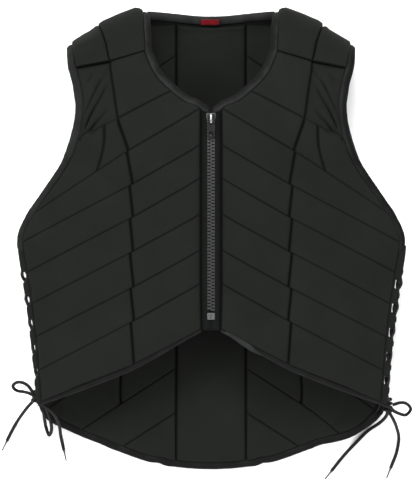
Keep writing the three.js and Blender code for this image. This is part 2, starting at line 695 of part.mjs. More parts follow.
const vector = (values) => new THREE.Vector3(...values);
const atKnot = (name, way, beyond = 0) => (
  vector(KNOTS[name]).addScaledVector(vector(way).normalize(), KNOT / 2 + CLEAR + beyond)
);

// The side lacing: down one strand, over the top pair of loops and back down the other. Every
// strand changes between the front and the back from one pair of loops to the next.
const STRAND_ENDS = { back: [0.1, 0.8, -0.6], front: [0.1, 0.75, 0.65] };
function strand(loops, first, name, offset) {
  const order = first === 'front' ? ['front', 'back'] : ['back', 'front'];
  const side = sides[name];
  const points = [];
  for (let k = 0; k < LOOP_COUNT; k += 1) {
    const { centre, ahead } = loops[order[k % 2]][k];
    const reach = LOOP_LENGTH / 2 + LOOP_MARGIN;
    const [entry, exit] = [-reach, reach].map((way) => centre.clone().addScaledVector(ahead, way));
    if (k > 0) {
      const middle = points[points.length - 1].clone().lerp(entry, 0.5);
      middle.x += side * offset;
      points.push(middle);
    }
    points.push(entry, exit);
  }
  const last = order[(LOOP_COUNT - 1) % 2];
  points.push(atKnot(name, STRAND_ENDS[last], KNOT_STEM), atKnot(name, STRAND_ENDS[last]));
  return points;
}

function sideLace(name, loops) {
  const down = strand(loops, 'front', name, LACE_CROSSING);
  const up = strand(loops, 'back', name, -LACE_CROSSING).reverse();
  const top = up[up.length - 1].clone().lerp(down[0], 0.5);
  top.y += LACE;
  const points = [...up, top, ...down];
  return lace(new PointRoute(points), points.length - 1, FACES);
}

for (const [name, side] of Object.entries(sides)) {
  const front = fronts[name].points;
  const [edge, inner] = backEdge(side);
  const edges = {
    front: squared(edgeStations(front, indices(armEnd, lastFront).map((i) => [
      i, FRONT_LAST, i, FRONT_LAST - 1,
    ]))),
    back: squared(edgeStations(back.points, indices(backArmEnd, backSideEnd).map((i) => [
      i, edge, i, inner,
    ]))),
  };
  addPiece(`loop_tape_front_${name}`, loopTape(edges.front), edging());
  addPiece(`loop_tape_back_${name}`, loopTape(edges.back), edging());
  const loops = { front: loopCentres(edges.front), back: loopCentres(edges.back) };
  addPiece(`side_lace_${name}`, sideLace(name, loops), cord());
  const knot = addPiece(`lace_knot_${name}`, new THREE.IcosahedronGeometry(KNOT / 2, 1), cord());
  knot.position.set(...KNOTS[name]);
}

// The bows and the free ends with their hard tips
for (const [name, route] of Object.entries(LACE_ROUTES)) {
  const side = name.includes('left') ? 'left' : 'right';
  const stem = (way) => [atKnot(side, way), atKnot(side, way, KNOT_STEM)];
  const points = [...stem(route.leave), ...route.points.map(vector)];
  if (route.arrive) {
    points.push(...stem(route.arrive).reverse());
  }
  const curve = new THREE.CatmullRomCurve3(points);
  addPiece(name, lace(curve, Math.ceil(curve.getLength() / (LACE * LACE_STEP)), LACE_FACES), cord());
  if (!route.arrive) {
    const ahead = curve.getTangentAt(1);
    const tip = new THREE.CylinderGeometry(TIP_DIAMETER / 2, TIP_DIAMETER / 2, TIP_LENGTH, LACE_FACES);
    const piece = addPiece(name.replace('end', 'tip'), tip, moulded());
    piece.quaternion.setFromUnitVectors(new THREE.Vector3(0, 1, 0), ahead);
    piece.position.copy(curve.getPointAt(1)).addScaledVector(ahead, TIP_LENGTH / 2 + CLEAR);
  }
}

// Zip: two tapes, two halves of the chain, the retainer box, the slider and its tab
const zipSlope = (y) => (frontHeight(0, y + 1) - frontHeight(0, y - 1)) / 2;
function zipStations(from, to, side) {
  const count = Math.ceil((from - to) / ZIP_STEP);
  return Array.from({ length: count + 1 }, (_, k) => {
    const y = THREE.MathUtils.lerp(from, to, k / count);
    const up = new THREE.Vector3(0, -zipSlope(y), 1).normalize();
    return { at: new THREE.Vector3(0, y, frontHeight(0, y)), up, out: new THREE.Vector3(side, 0, 0) };
  });
}

const NECK_LINE = 2; // the chevron seam that starts at the collar's lowest point
const HEM_LINE = 8; // the front hem
const zipTop = along(FRONT, 'rise', NECK_LINE) * LENGTH - ZIP_DROP;
const zipBottom = along(FRONT, 'rise', HEM_LINE) * LENGTH + ZIP_RISE;
const sliderY = zipTop - SLIDER_DROP;
const chainTop = sliderY - SLIDER_LENGTH / 2 - CLEAR;
const retainerY = zipBottom + RETAINER;
const chainBottom = retainerY + RETAINER / 2 + CLEAR;
for (const [name, side] of Object.entries(sides)) {
  const tape = flatSection(CHAIN + CLEAR, ZIP_GAP - CLEAR, TAPE);
  const chain = flatSection(CLEAR / 2, CHAIN, CHAIN_HEIGHT);
  addPiece(`zip_tape_${name}`, sweep(zipStations(zipTop, zipBottom, side), tape), cloth());
  addPiece(`zip_teeth_${name}`, sweep(zipStations(chainTop, chainBottom, side), chain), moulded());
}

// A group that lies on the zip at y, with its own Z square to the cloth
function onZip(y) {
  const group = new THREE.Group();
  group.position.set(0, y, frontHeight(0, y));
  group.rotation.x = Math.atan(zipSlope(y));
  protector.add(group);
  return group;
}
const box = new THREE.BoxGeometry(CHAIN * 2, RETAINER, RETAINER_HEIGHT);
addPiece('zip_retainer', box, moulded(), onZip(retainerY));

// Slider: two plates and the post between them, with the bridge on top
const plateTop = SLIDER_GAP / 2 + SLIDER_PLATE;
function sliderBody() {
  const [wide, post, inner] = [SLIDER_WIDTH / 2, SLIDER_POST / 2, SLIDER_GAP / 2];
  const profile = new THREE.Shape([
    [-wide, -plateTop], [wide, -plateTop], [wide, -inner], [post, -inner], [post, inner], [wide, inner],
    [wide, plateTop], [-wide, plateTop], [-wide, inner], [-post, inner], [-post, -inner], [-wide, -inner],
  ].map(([x, z]) => new THREE.Vector2(x, z)));
  const body = new THREE.ExtrudeGeometry(profile, { depth: SLIDER_LENGTH, bevelEnabled: false });
  body.rotateX(Math.PI / 2).translate(0, SLIDER_LENGTH / 2, 0);

  const [end, foot, top] = [BRIDGE_LENGTH / 2, BRIDGE_LENGTH / 2 - BRIDGE_WALL, BRIDGE_HEIGHT];
  const arch = new THREE.Shape([
    [-end, -BRIDGE_ROOT], [-end, top - BRIDGE_CORNER], [-end + BRIDGE_CORNER, top],
    [end - BRIDGE_CORNER, top], [end, top - BRIDGE_CORNER], [end, -BRIDGE_ROOT], [foot, -BRIDGE_ROOT],
    [foot, top - BRIDGE_WALL], [-foot, top - BRIDGE_WALL], [-foot, -BRIDGE_ROOT],
  ].map(([y, z]) => new THREE.Vector2(y, z)));
  const bridge = new THREE.ExtrudeGeometry(arch, { depth: BRIDGE_WIDTH, bevelEnabled: false });
  bridge.translate(0, 0, -BRIDGE_WIDTH / 2);
  bridge.applyMatrix4(new THREE.Matrix4().makeBasis(
    new THREE.Vector3(0, 1, 0), new THREE.Vector3(0, 0, 1), new THREE.Vector3(1, 0, 0),
  ));
  bridge.translate(0, 0, plateTop);
  return joined([body, bridge]);
}
const slider = onZip(sliderY);
addPiece('zip_slider', sliderBody(), metal(), slider);

// Pull tab: its upper bar turns under the bridge, which stands in the tab's window
const barReach = Math.hypot(PULL_BAR, PULL_THICKNESS) / 2;
const hinge = new THREE.Vector3(
  0, BRIDGE_LENGTH / 2 - BRIDGE_WALL - barReach - CLEAR, plateTop + barReach + CLEAR,
);
function pullTab() {
  const [wide, open] = [PULL_WIDTH / 2, BRIDGE_WIDTH / 2 + CLEAR * 1.5];
  const tab = new THREE.Shape([
    [-wide, PULL_BAR / 2], [-wide, -PULL_LENGTH + PULL_CORNER], [-wide + PULL_CORNER, -PULL_LENGTH],
    [wide - PULL_CORNER, -PULL_LENGTH], [wide, -PULL_LENGTH + PULL_CORNER], [wide, PULL_BAR / 2],
  ].map(([x, y]) => new THREE.Vector2(x, y)));
  tab.holes.push(new THREE.Path([
    [-open, -PULL_BAR / 2], [open, -PULL_BAR / 2], [open, -WINDOW_LENGTH], [-open, -WINDOW_LENGTH],
  ].map(([x, y]) => new THREE.Vector2(x, y))));
  tab.holes.push(new THREE.Path(polygon(PULL_HOLE, 12, PULL_HOLE_UP - PULL_LENGTH)));
  const geometry = new THREE.ExtrudeGeometry(tab, { depth: PULL_THICKNESS, bevelEnabled: false });
  return geometry.translate(0, 0, -PULL_THICKNESS / 2);
}
addPiece('zip_pull', pullTab(), darkMetal(), slider).position.copy(hinge);

// Neck label, on the nape's edge roll
const [nape] = edgeStations(back.points, [[0, MIDDLE, 1, MIDDLE]]);
const label = new THREE.BoxGeometry(LABEL_WIDTH, LABEL_HEIGHT, LABEL_THICKNESS);
const labelPiece = addPiece('neck_label', label, material(0xa01420, 0.7));
labelPiece.position.copy(nape.at)
  .addScaledVector(nape.out, CLEAR + (ROLL - LABEL_HEIGHT) / 2 + ROLL * 0.3)
  .addScaledVector(nape.up, PAD / 2 + CLEAR + LABEL_THICKNESS / 2);
labelPiece.quaternion.setFromRotationMatrix(new THREE.Matrix4().makeBasis(
  new THREE.Vector3(1, 0, 0), nape.out, new THREE.Vector3(1, 0, 0).cross(nape.out),
));

export default protector;
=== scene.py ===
import math

import bmesh
import bpy
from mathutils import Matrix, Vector, noise


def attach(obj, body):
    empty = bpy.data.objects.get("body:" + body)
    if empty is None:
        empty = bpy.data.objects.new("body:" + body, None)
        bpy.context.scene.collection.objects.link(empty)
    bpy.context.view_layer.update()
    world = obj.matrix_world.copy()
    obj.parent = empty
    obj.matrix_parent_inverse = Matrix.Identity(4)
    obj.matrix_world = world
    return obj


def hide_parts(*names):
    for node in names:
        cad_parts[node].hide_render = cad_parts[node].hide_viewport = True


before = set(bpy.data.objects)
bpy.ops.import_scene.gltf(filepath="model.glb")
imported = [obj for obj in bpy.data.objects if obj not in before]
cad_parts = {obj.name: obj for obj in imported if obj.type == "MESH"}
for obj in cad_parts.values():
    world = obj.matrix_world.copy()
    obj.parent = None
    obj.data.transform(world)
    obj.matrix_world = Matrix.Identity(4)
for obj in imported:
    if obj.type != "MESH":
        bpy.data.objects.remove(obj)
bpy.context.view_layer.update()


# The view from above
# The protector lies on a pale studio table and is seen from straight above, under large soft
# lamps that leave almost no shadow.
CAMERA_HEIGHT = 3.5
FOCUS_HEIGHT = 0.01
VIEW_HEIGHT = 0.64665  # what the frame shows from top to bottom, at the height of the focus
VIEW_MIDDLE = (-0.0047, -0.002)
SENSOR = 36
scene = bpy.context.scene
scene.view_settings.view_transform = "Standard"
camera_data = bpy.data.cameras.new("overhead")
camera_data.sensor_fit = "VERTICAL"
camera_data.sensor_height = SENSOR
camera_data.lens = (CAMERA_HEIGHT - FOCUS_HEIGHT) / VIEW_HEIGHT * SENSOR
camera = bpy.data.objects.new("overhead", camera_data)
camera.location = (*VIEW_MIDDLE, CAMERA_HEIGHT)
scene.collection.objects.link(camera)
scene.camera = camera


def soft_lamp(name, place, size, power):
    """A square lamp that shines on the middle of the protector."""
    data = bpy.data.lights.new(name, "AREA")
    data.shape = "SQUARE"
    data.size = size
    data.energy = power
    lamp = bpy.data.objects.new(name, data)
    lamp.location = place
    lamp.rotation_euler = (-Vector(place)).to_track_quat("-Z", "Y").to_euler()
    scene.collection.objects.link(lamp)


soft_lamp("lamp_head", (-0.3, 2.0, 2.3), 1.3, 104)
soft_lamp("lamp_left", (-2.2, 0.3, 2.0), 1.4, 61)
soft_lamp("lamp_right", (2.2, -0.4, 2.0), 1.4, 46)
soft_lamp("lamp_foot", (0.1, -2.3, 0.75), 1.3, 40)
scene.world = bpy.data.worlds.new("studio")
scene.world.use_nodes = True
scene.world.node_tree.nodes["Background"].inputs["Color"].default_value = (1, 1, 1, 1)
scene.world.node_tree.nodes["Background"].inputs["Strength"].default_value = 0.86


class Shade:
    """A value or colour of one material. Arithmetic on it adds Math nodes."""

    def __init__(self, tree, socket=None):
        self.tree = tree
        self.socket = socket

    def connect(self, inputs, values):
        """Sets inputs to their values, and links those whose value is a shade."""
        for name, value in values.items():
            if isinstance(value, Shade):
                self.tree.links.new(value.socket, inputs[name])
            else:
                inputs[name].default_value = value

    def node(self, kind, settings=None, inputs=None, output=0):
        made = self.tree.nodes.new(kind)
        for name, value in (settings or {}).items():
            setattr(made, name, value)
        self.connect(made.inputs, inputs or {})
        return Shade(self.tree, made.outputs[output])

    def maths(self, operation, *values):
        return self.node("ShaderNodeMath", {"operation": operation}, dict(enumerate(values)))

    def __add__(self, other):
        return self.maths("ADD", self, other)

    def __sub__(self, other):
        return self.maths("SUBTRACT", self, other)

    def __rsub__(self, other):
        return self.maths("SUBTRACT", other, self)

    def __mul__(self, other):
        return self.maths("MULTIPLY", self, other)

    def sine(self):
        return self.maths("SINE", self)

    def clamped(self):
        return self.node("ShaderNodeClamp", {}, {"Value": self})

    def place(self):
        """Where a point is on the object, in metres."""
        return self.node("ShaderNodeTexCoord", {}, {}, 3)

    def axes(self):
        """The three parts of a place."""
        split = self.node("ShaderNodeSeparateXYZ", {}, {"Vector": self}).socket.node
        return [Shade(self.tree, output) for output in split.outputs]

    def unevenness(self, scale, detail, roughness=0.5):
        """A random pattern, of so many features to a metre."""
        return self.node("ShaderNodeTexNoise", {}, {
            "Vector": self.place(), "Scale": scale, "Detail": detail, "Roughness": roughness,
        })


def new_finish(name):
    """An empty material and its shading."""
    made = bpy.data.materials.new(name)
    made.use_nodes = True
    return made, Shade(made.node_tree)


def surface(shade, tone, dark, light, rough, relief=None, specular=0.5):
    """Ends a material. Its colour runs from dark to light with the tone, and its relief is a
    height, a strength and a depth in metres."""
    values = {
        "Base Color": shade.node(
            "ShaderNodeMix", {"data_type": "RGBA"}, {0: tone, 6: (*dark, 1), 7: (*light, 1)}, 2),
        "Roughness": rough,
        "Specular IOR Level": specular,
    }
    if relief:
        values["Normal"] = shade.node(
            "ShaderNodeBump", {}, dict(zip(("Height", "Strength", "Distance"), relief)))
    inputs = shade.tree.nodes["Principled BSDF"].inputs
    shade.connect(inputs, values)
    return inputs


def speckled(name, scale, dark, light, rough, relief, specular=0.5):
    """A hard material with a fine speckle. Rough is how much the speckle adds, and to what."""
    made, shade = new_finish(name)
    speckle = shade.unevenness(scale, 4.0)
    inputs = surface(shade, speckle, dark, light, speckle * rough[0] + rough[1],
                     (speckle, *relief), specular)
    return made, inputs


# The laces' free ends and bows
# Round braided polyester lace, 4.5 mm thick and limp. It leaves the knots at the waist, droops
# to the table and lies there. The routes repeat the solids' own points.
LACE = 0.0045
KNOT = 0.014
KNOT_STEM = 0.003
LACE_SPACING = 0.0022
CLEAR = 0.0004
KNOTS = {"left": (-0.232, -0.212, 0.049), "right": (0.2355, -0.2245, 0.047)}
LACES = {
    "bow_loop_left": {
        "leave": (-0.6, 0.7, 0.38), "arrive": (-0.8, 0.3, -0.5),
        "points": [(-244.5, -197, 50), (-253, -193, 45), (-261.5, -194, 37), (-266, -199.5, 29),
                   (-261.5, -205, 24), (-252, -206.5, 27), (-245, -207.5, 37)],
    },
    "bow_drop_left": {
        "leave": (0.2, -0.85, -0.48), "arrive": (0.75, -0.55, 0.36),
        "points": [(-225, -231, 38), (-224, -246, 18), (-222.5, -257, 7.5), (-218.5, -266, 13),
                   (-214.5, -258, 24), (-215, -246, 34), (-219, -231, 44)],
    },
    "lace_end_left_outer": {
        "leave": (-0.62, -0.65, -0.44), "arrive": None,
        "points": [(-246, -227, 37), (-257, -241, 15), (-265, -253, 3.4), (-271, -264, 2.6),
                   (-276, -274, 2.6)],
    },
    "lace_end_left_inner": {
        "leave": (0.1, -0.36, 0.93), "arrive": None,
        "points": [(-224, -222, 58), (-211, -233, 53), (-204, -250, 32), (-203, -266, 9),
                   (-201, -278, 2.6), (-199, -287, 2.6)],
    },
    "bow_loop_right": {
        "leave": (0.95, 0.25, 0.2), "arrive": (0.8, -0.6, 0.05),
        "points": [(253, -220, 46), (262, -222, 38), (268, -230, 31), (262, -237, 32),
                   (252, -235, 41)],
    },
    "lace_end_right_outer": {
        "leave": (0.3, -0.9, 0.3), "arrive": None,
        "points": [(244, -243, 42), (250, -256, 22), (254, -271, 4), (251, -290, 2.6),
                   (243, -311, 2.6)],
    },
    "lace_end_right_inner": {
        "leave": (0.1, -0.7, -0.7), "arrive": None,
        "points": [(235, -240, 26), (227, -250, 10), (212, -261, 3.4), (198, -275, 2.6),
                   (180, -294, 2.6), (163, -315, 2.6)],
    },
}


def bounded(value):
    """A value held between 0 and 1."""
    return min(max(value, 0), 1)


def ring_angles(count):
    return [math.tau * (k + 0.5) / count for k in range(count)]


def pushed(value, power):
    """A part of a unit circle's point, pushed out towards a square."""
    return math.copysign(abs(value) ** power, value)


def smoothed(bm):
    for face in bm.faces:
        face.smooth = True


def link(name, bm):
    """A finished object at the origin."""
    mesh = bpy.data.meshes.new(name)
    bm.to_mesh(mesh)
    bm.free()
    made = bpy.data.objects.new(name, mesh)
    scene.collection.objects.link(made)
    return made


def smooth_route(points, spacing):
    """Evenly spaced points on the centripetal curve through the given ones."""
    ends = [points[0] * 2 - points[1], *points, points[-1] * 2 - points[-2]]
    dense = [points[0]]
    for a, b, c, d in zip(ends, ends[1:], ends[2:], ends[3:]):
        t1 = max((b - a).length ** 0.5, 1e-4)
        t2 = t1 + max((c - b).length ** 0.5, 1e-4)
        t3 = t2 + max((d - c).length ** 0.5, 1e-4)
        for k in range(1, 25):
            t = t1 + (t2 - t1) * k / 24
            ab = a.lerp(b, t / t1)
            bc = b.lerp(c, (t - t1) / (t2 - t1))
            cd = c.lerp(d, (t - t2) / (t3 - t2))
            abc = ab.lerp(bc, t / t2)
            bcd = bc.lerp(cd, (t - t1) / (t3 - t1))
            dense.append(abc.lerp(bcd, (t - t1) / (t2 - t1)))
    return evenly(dense, spacing)


def evenly(dense, spacing):
    """The same path with its points at one spacing."""
    lengths = [0]
    for before, after in zip(dense, dense[1:]):
        lengths.append(lengths[-1] + (after - before).length)
    count = max(round(lengths[-1] / spacing), 2)
    made = []
    row = 0
    for k in range(count + 1):
        wanted = lengths[-1] * k / count
        while row < len(dense) - 2 and lengths[row + 1] < wanted:
            row += 1
        span = max(lengths[row + 1] - lengths[row], 1e-9)
        made.append(dense[row].lerp(dense[row + 1], (wanted - lengths[row]) / span))
    return made


def path_length(points):
    return sum((after - before).length for before, after in zip(points, points[1:]))


def swept(name, stations, section):
    """A section of (out, up) offsets carried along stations of (place, out, up).

    Its UV map holds metres round the section and along the path.
    """
    bm = bmesh.new()
    layer = bm.loops.layers.uv.new("UVMap")
    first = [bm.verts.new(place_on(stations[0], offset)) for offset in section(0)]
    ring = [bm.edges.new((first[k], first[(k + 1) % len(first)])) for k in range(len(first))]
    order = list(first)
    rings = [order]
    for number, station in enumerate(stations[1:], 1):
        grown = bmesh.ops.extrude_edge_only(bm, edges=ring)["geom"]
        verts = [v for v in grown if isinstance(v, bmesh.types.BMVert)]
        ring = [e for e in grown if isinstance(e, bmesh.types.BMEdge)]
        nearest = {}
        for vert in verts:
            for edge in vert.link_edges:
                other = edge.other_vert(vert)
                if other in order:
                    nearest[order.index(other)] = vert
        order = [nearest[k] for k in range(len(order))]
        for vert, offset in zip(order, section(number / (len(stations) - 1))):
            vert.co = place_on(station, offset)
        rings.append(order)
    around = [0]
    for k in range(len(order)):
        around.append(around[-1] + (first[(k + 1) % len(order)].co - first[k].co).length)
    reach = [0]
    for before, after in zip(stations, stations[1:]):
        reach.append(reach[-1] + (after[0] - before[0]).length)
    spot = {vert: (row, k) for row, ring_verts in enumerate(rings) for k, vert in enumerate(ring_verts)}
    for face in bm.faces:
        places = [spot[loop.vert] for loop in face.loops]
        wraps = max(k for _, k in places) == len(order) - 1 and min(k for _, k in places) == 0
        for loop, (row, k) in zip(face.loops, places):
            across = len(order) if wraps and k == 0 else k
            loop[layer].uv = (around[across], reach[row])
        face.smooth = True
    bm.faces.new(rings[0])
    bm.faces.new(rings[-1])
    bmesh.ops.recalc_face_normals(bm, faces=bm.faces)
    return link(name, bm)


def place_on(station, offset):
    place, out, up = station
    return place + out * offset[0] + up * offset[1]


def cord_stations(points):
    """Stations along a cord, turned as little as possible from one to the next."""
    made = []
    up = Vector((0, 0, 1))
    for k, place in enumerate(points):
        ahead = (points[min(k + 1, len(points) - 1)] - points[max(k - 1, 0)]).normalized()
        if abs(ahead.dot(up)) > 0.98:
            up = Vector((1, 0, 0))
        out = ahead.cross(up).normalized()
        up = out.cross(ahead).normalized()
        made.append((place, out, up))
    return made


def round_section(radius, sides):
    ring = [(math.cos(a) * radius, math.sin(a) * radius) for a in ring_angles(sides)]
    return lambda share: ring


# The braid shows as fine crossing ridges that wind round the lace.
BRAID_STRANDS = 8
BRAID_PITCH = 0.0031
lace_finish, lace_shade = new_finish("braided_lace")
lace_round, lace_along, _ = lace_shade.node("ShaderNodeUVMap").axes()
turns = lace_round * (math.tau * BRAID_STRANDS / (math.pi * LACE))
rise = lace_along * (math.tau / BRAID_PITCH)
braid = (turns + rise).sine() * (turns - rise).sine() * 0.5 + 0.5
lace_fuzz = lace_shade.unevenness(900.0, 3.0)
surface(lace_shade, (braid * 0.6 + lace_fuzz * 0.4).clamped(), (0.0022, 0.0024, 0.0022),
        (0.0105, 0.0113, 0.0105), 0.82 - braid * 0.2,
        (braid * 0.8 + lace_fuzz * 0.3, 0.7, 0.0004), 0.12)


def from_knot(side, way, beyond=0.0):
    return Vector(KNOTS[side]) + Vector(way).normalized() * (KNOT / 2 + CLEAR + beyond)


# A lace's hard tip is a heat-shrunk sleeve, a little narrower than the lace, crimped twice.
TIP_LENGTH = 0.015
TIP_DIAMETER = 0.003
tip_finish, _ = speckled("lace_tip_sleeve", 420.0, (0.012, 0.012, 0.012), (0.034, 0.034, 0.034),
                         (0.3, 0.2), (0.3, 0.0002))
# How far along the tip, and its width there
TIP_PROFILE = [
    (0.0, 0.9), (0.02, 1.1), (0.08, 1.1), (0.16, 0.9), (0.28, 0.74), (0.32, 0.68), (0.36, 0.74),
    (0.68, 0.7), (0.72, 0.63), (0.76, 0.68), (0.94, 0.64), (0.985, 0.5), (1.0, 0.25),
]
for name, route in LACES.items():
    side = "left" if "left" in name else "right"
    points = [from_knot(side, route["leave"]), from_knot(side, route["leave"], KNOT_STEM)]
    points += [Vector(point) * 0.001 for point in route["points"]]
    if route["arrive"]:
        points += [from_knot(side, route["arrive"], KNOT_STEM), from_knot(side, route["arrive"])]
    path = smooth_route(points, LACE_SPACING)
    lace = swept(name.replace("lace_end", "free_lace").replace("bow", "tied"),
                 cord_stations(path), round_section(LACE / 2, 14))
    lace.data.materials.append(lace_finish)
    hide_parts(name)
    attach(lace, "protector")
    if not route["arrive"]:
        ahead = (path[-1] - path[-3]).normalized()
        start = path[-1] + ahead * CLEAR * 0.2
        stations = cord_stations([start + ahead * TIP_LENGTH * at for at, _ in TIP_PROFILE])
        circle = round_section(TIP_DIAMETER / 2, 14)(0)

        def tip_section(share):
            width = TIP_PROFILE[round(share * (len(TIP_PROFILE) - 1))][1]
            return [(x * width, z * width) for x, z in circle]

        tip = swept(name.replace("lace_end", "sleeve"), stations, tip_section)
        tip.data.materials.append(tip_finish)
        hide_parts(name.replace("end", "tip"))
        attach(tip, "protector")
    round(path_length(path), 4)
    [tuple(point) for point in smooth_route(points, path_length(path) / 24)]
    print("cord", name, round(path_length(path), 4))


# The bows' knots
# Each bow is pulled tight where the two laces meet: three turns of the lace round a crossing
# strand make the lump at the corner of the hem.
KNOT_TURNS = 3.1
KNOT_RADIUS = 0.0052
KNOT_TAPER = 0.0016
KNOT_LENGTH = 0.0165
# The crossing strand's points round the knot's middle, in millimetres
CROSSING = [(-7, -6, -3), (-5.5, -3, 5.5), (-1, 0, 8.2), (4.5, 3, 6.5), (6.6, 5, -1), (4, 6, -6)]
for side, place in KNOTS.items():
    middle = Vector(place)
    turn = 1 if side == "left" else -1
    coil = []
    for k in range(61):
        share = k / 60
        angle = math.tau * KNOT_TURNS * share
        radius = KNOT_RADIUS - KNOT_TAPER * abs(share - 0.5)
        coil.append(middle + Vector((
            math.cos(angle) * radius, (share - 0.42) * KNOT_LENGTH, math.sin(angle) * radius,
        )))
    wrap = swept(f"knot_wrap_{side}", cord_stations(coil), round_section(LACE / 2 * 0.98, 14))
    cross = [middle + Vector((turn * x, y, z)) * 0.001 for x, y, z in CROSSING]
    strand = swept(f"knot_cross_{side}", cord_stations(smooth_route(cross, 0.0012)),
                   round_section(LACE / 2 * 0.9, 12))
    for piece in (wrap, strand):
        piece.data.materials.append(lace_finish)
        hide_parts(f"lace_knot_{side}")
        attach(piece, "protector")


# The front halves
# Two quilted halves of black woven nylon, sewn through in chevrons over separate blocks of foam,
# with a long seam between an inner and an outer column and a soft unpadded piece by the armhole.
LENGTH = 0.626
HALF_WIDTH = 0.263
CHEST_HEIGHT = 0.112
SIDE_HEIGHT = 0.058
BACK_LIFT = 0.032
BACK_FLAT = 0.16
BEND = 0.031
PAD = 0.013
CHANNEL = 0.005
SOFT = 0.004
BORDER = 0.0068  # how far a pad's rounded edge runs in from its column's seam
ROW_BORDER = 0.003  # the same at the shallow seams that slant across a column
ROW_DIP = 0.36
# How wide the painted shade is at a sewn channel and at a slanting seam
SEAM_SHADE_WIDTH = 0.0027
ROW_SHADE_WIDTH = 0.0021
ZIP_GAP = 0.0125
# Along the middle of the front: place as a share of the length, height as a share of the chest's
CREST = [(-0.40, 0.80), (-0.19, 0.91), (0, 0.985), (0.14, 1.0), (0.25, 0.93), (0.33, 0.78),
         (0.39, 0.63), (0.47, 0.55)]
# line, rise, fall, fall beyond the seam, neck edge, long seam, outer edge
FRONT = [
    (0.0, 0.439, 0.31, 0.20, 0.283, 0.510, 0.681), (0.5, 0.394, 0.41, 0.36, 0.230, 0.487, 0.648),
    (1.0, 0.349, 0.51, 0.51, 0.143, 0.464, 0.671), (1.5, 0.316, 0.55, 0.58, 0.078, 0.437, 0.738),
    (2.0, 0.282, 0.58, 0.65, 0.000, 0.411, 0.886), (2.5, 0.244, 0.58, 0.58, 0.000, 0.403, 0.935),
    (3.0, 0.206, 0.57, 0.52, 0.000, 0.397, 0.948), (4.0, 0.137, 0.57, 0.52, 0.000, 0.395, 0.926),
    (5.0, 0.062, 0.55, 0.52, 0.000, 0.395, 0.903), (6.0, -0.013, 0.55, 0.515, 0.000, 0.393, 0.884),
    (7.0, -0.083, 0.56, 0.53, 0.000, 0.392, 0.868), (8.0, -0.181, 0.53, 0.41, 0.000, 0.392, 0.855),
]
RISE, FALL, FALL_OUT, NECK, SEAM, SIDE = range(1, 7)
SHORT_SEAM = 0.32
ROW_SLANT = 0.87  # a slanting row's width for each unit of its rise
BACK_SLANT = 0.86
# How strong the painted shade in the slanting seams is, in each column
INNER_SEAM_SHADE, OUTER_SEAM_SHADE = 0.55, 0.42  # how dark the slanting seams are in each column
SAW = 0.0042  # how far the long seam steps sideways at every chevron


def along(table, column, value):
    """A column of a table at a value of its first column, smooth through its rows."""
    last = len(table) - 1
    row = 0
    while row < last - 1 and value > table[row + 1][0]:
        row += 1

    def slope(index):
        before = table[max(index - 1, 0)]
        after = table[min(index + 1, last)]
        return (after[column] - before[column]) / (after[0] - before[0])

    start, end = table[row], table[row + 1]
    span = end[0] - start[0]
    t = bounded((value - start[0]) / span)
    rest = 1 - t
    from_start = start[column] * (1 + 2 * t) + slope(row) * span * t
    from_end = end[column] * (1 + 2 * rest) - slope(row + 1) * span * rest
    return from_start * rest * rest + from_end * t * t


def front_height(x, y):
    crest = along(CREST, 1, y / LENGTH) * CHEST_HEIGHT - PAD / 2
    edge = min(SIDE_HEIGHT, crest)
    return crest - (crest - edge) * abs(x / HALF_WIDTH) ** 2.6


def front_edges(line):
    """The zip edge, long seam and outer edge of a front half at a line."""
    inner = ZIP_GAP + max(along(FRONT, NECK, line), 0) * HALF_WIDTH
    seam = along(FRONT, SEAM, line) * HALF_WIDTH
    outer = along(FRONT, SIDE, line) * HALF_WIDTH
    return inner, seam, outer


def on_front(line, x, side):
    seam = along(FRONT, SEAM, line) * HALF_WIDTH
    y = along(FRONT, RISE, line) * LENGTH - min(x, seam) * along(FRONT, FALL, line)
    y -= max(x - seam, 0) * along(FRONT, FALL_OUT, line)
    return Vector((x * side, y, front_height(x, y)))


def front_place(line, column, side):
    """Column 0 is the zip edge, 1 the long seam and 2 the outer edge."""
    inner, seam, outer = front_edges(line)
    step = SAW * (0.5 - (line - math.floor(line))) if 2 < line < 7.999 else 0
    seam_x = seam + step
    x = inner + (seam_x - inner) * min(column, 1) + (outer - seam_x) * max(column - 1, 0)
    return on_front(line, x, side)


def rounded(distance, border=BORDER):
    """How far a pad has risen at a distance from its seam: a quarter circle."""
    share = 1 - min(max(distance, 0) / border, 1)
    return math.sqrt(max(1 - share * share, 0))


def quilted(near_column, near_row, near_end, full, row_shade):
    """Half a pad's thickness from its distances to the seams, and how near a seam is, which the cloth's
    colour turns into painted shade down in the channels.
    """
    rise = rounded(near_column) * rounded(near_end)
    rise *= 1 - ROW_DIP * (1 - rounded(near_row, ROW_BORDER))
    dark = max(
        1 - max(near_column, 0) / SEAM_SHADE_WIDTH, 1 - max(near_end, 0) / SEAM_SHADE_WIDTH,
        row_shade * (1 - max(near_row, 0) / ROW_SHADE_WIDTH), 0,
    )
    return CHANNEL / 2 + (full - CHANNEL) / 2 * rise, dark


NEAR_SEAM = [0.0, 0.0005, 0.0012, 0.0022, 0.0036, 0.0054, 0.0075]
SPACING = 0.0046


def marks(length, longest):
    """Shares of a cell's length, close together at its seams."""
    near = [place for place in NEAR_SEAM if place < length * 0.42]
    middle = max(math.ceil((length - 2 * near[-1]) / longest), 1)
    between = [near[-1] + (length - 2 * near[-1]) * k / middle for k in range(1, middle)]
    places = near + between + [length - place for place in reversed(near[1:])]
    return [place / length for place in places]


def cell_marks(first, lengths, longest=SPACING):
    """The stations of a row of cells that start at a whole number."""
    made = []
    for k, length in enumerate(lengths):
        made += [first + k + share for share in marks(length, longest)]
    return [*made, first + len(lengths)]


